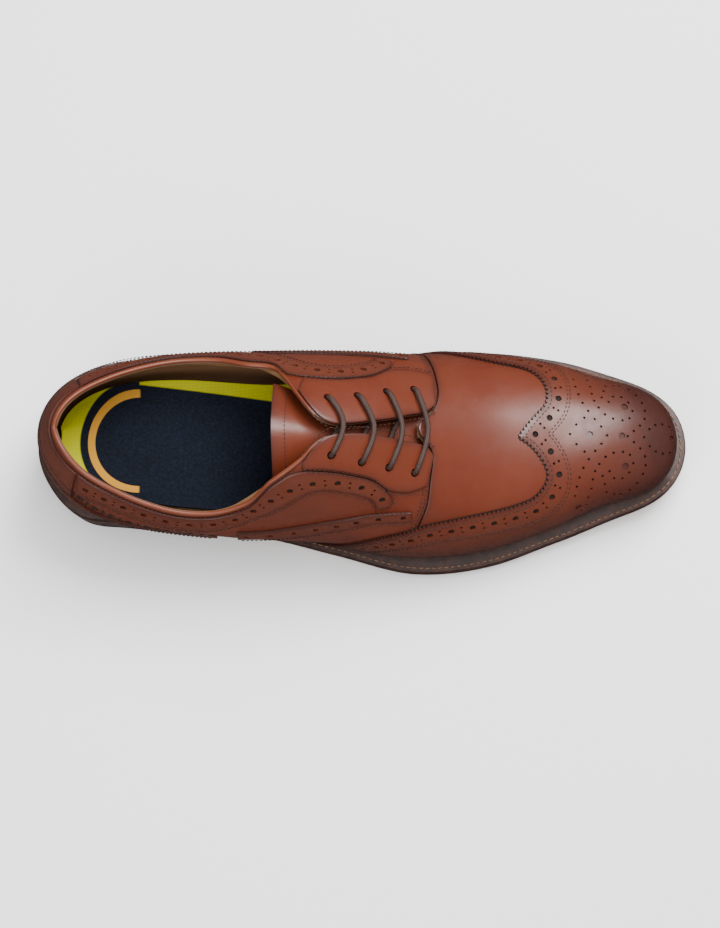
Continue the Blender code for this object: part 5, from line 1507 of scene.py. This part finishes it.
for face in mesh.polygons:
    ring_numbers = [mesh.loops[k].vertex_index for k in face.loop_indices]
    wraps = {n % SIDES for n in ring_numbers} >= {0, SIDES - 1} and len(ring_numbers) == 4
    for k, n in zip(face.loop_indices, ring_numbers):
        turn = (n % SIDES) / SIDES
        uv.data[k].uv = (turn + (1 if wraps and n % SIDES == 0 else 0), along[n // SIDES])
mesh.shade_smooth()
lace = bpy.data.objects.new("lace_cord", mesh)
bpy.context.scene.collection.objects.link(lace)
braid = bpy.data.materials.new("braided_cotton")
braid.use_nodes = True
tree = braid.node_tree
surface = tree.nodes["Principled BSDF"]
texture_place = node(tree, "ShaderNodeTexCoord").outputs["UV"]
u_at, v_at, _ = node(tree, "ShaderNodeSeparateXYZ", {"Vector": texture_place}).outputs
STRANDS = 6 * 2 * math.pi
strand = times(math_node(tree, "SINE", times(plus(u_at, v_at), STRANDS)),
               math_node(tree, "SINE", times(math_node(tree, "SUBTRACT", u_at, v_at), STRANDS)))
tree.links.new(mixed(tree, ramp(tree, strand, -0.7, 0.7), (0.018, 0.007, 0.005, 1), (0.052, 0.021, 0.014, 1)),
               surface.inputs["Base Color"])
surface.inputs["Roughness"].default_value = 0.6
bump = node(tree, "ShaderNodeBump", {"Height": strand, "Strength": 0.7, "Distance": 0.00015})
tree.links.new(bump.outputs["Normal"], surface.inputs["Normal"])
dress(lace, braid, "lace")

# Inner parts that stay as they are: stiffeners, insole board, cork, shank, eyelets and the lace's tips.
canvas = plain_material("stiff_canvas", (0.30, 0.24, 0.16), 0.85, scale=700)
board = plain_material("insole_leather", (0.33, 0.23, 0.13), 0.75, scale=120)
cork = plain_material("ground_cork", (0.28, 0.15, 0.07), 0.9, scale=350, vary=0.4)
steel = plain_material("spring_steel", (0.45, 0.45, 0.47), 0.35, scale=500, metallic=1.0, vary=0.05)
brass = plain_material("antique_brass", (0.16, 0.10, 0.05), 0.45, scale=800, metallic=1.0, vary=0.1)
film = plain_material("aglet_film", (0.05, 0.022, 0.014), 0.3, scale=500)
inner = {"toe_puff": canvas, "heel_counter": board, "insole_board": board, "cork_filler": cork, "shank": steel,
         "aglet_1": film, "aglet_2": film, "vamp_lining": calf_lining}
for name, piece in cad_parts.items():
    material = brass if name.startswith("eyelet_") and "tab" not in name else inner.get(name)
    if material and not piece.hide_render:
        piece.data.materials.clear()
        piece.data.materials.append(material)

bpy.context.view_layer.update()
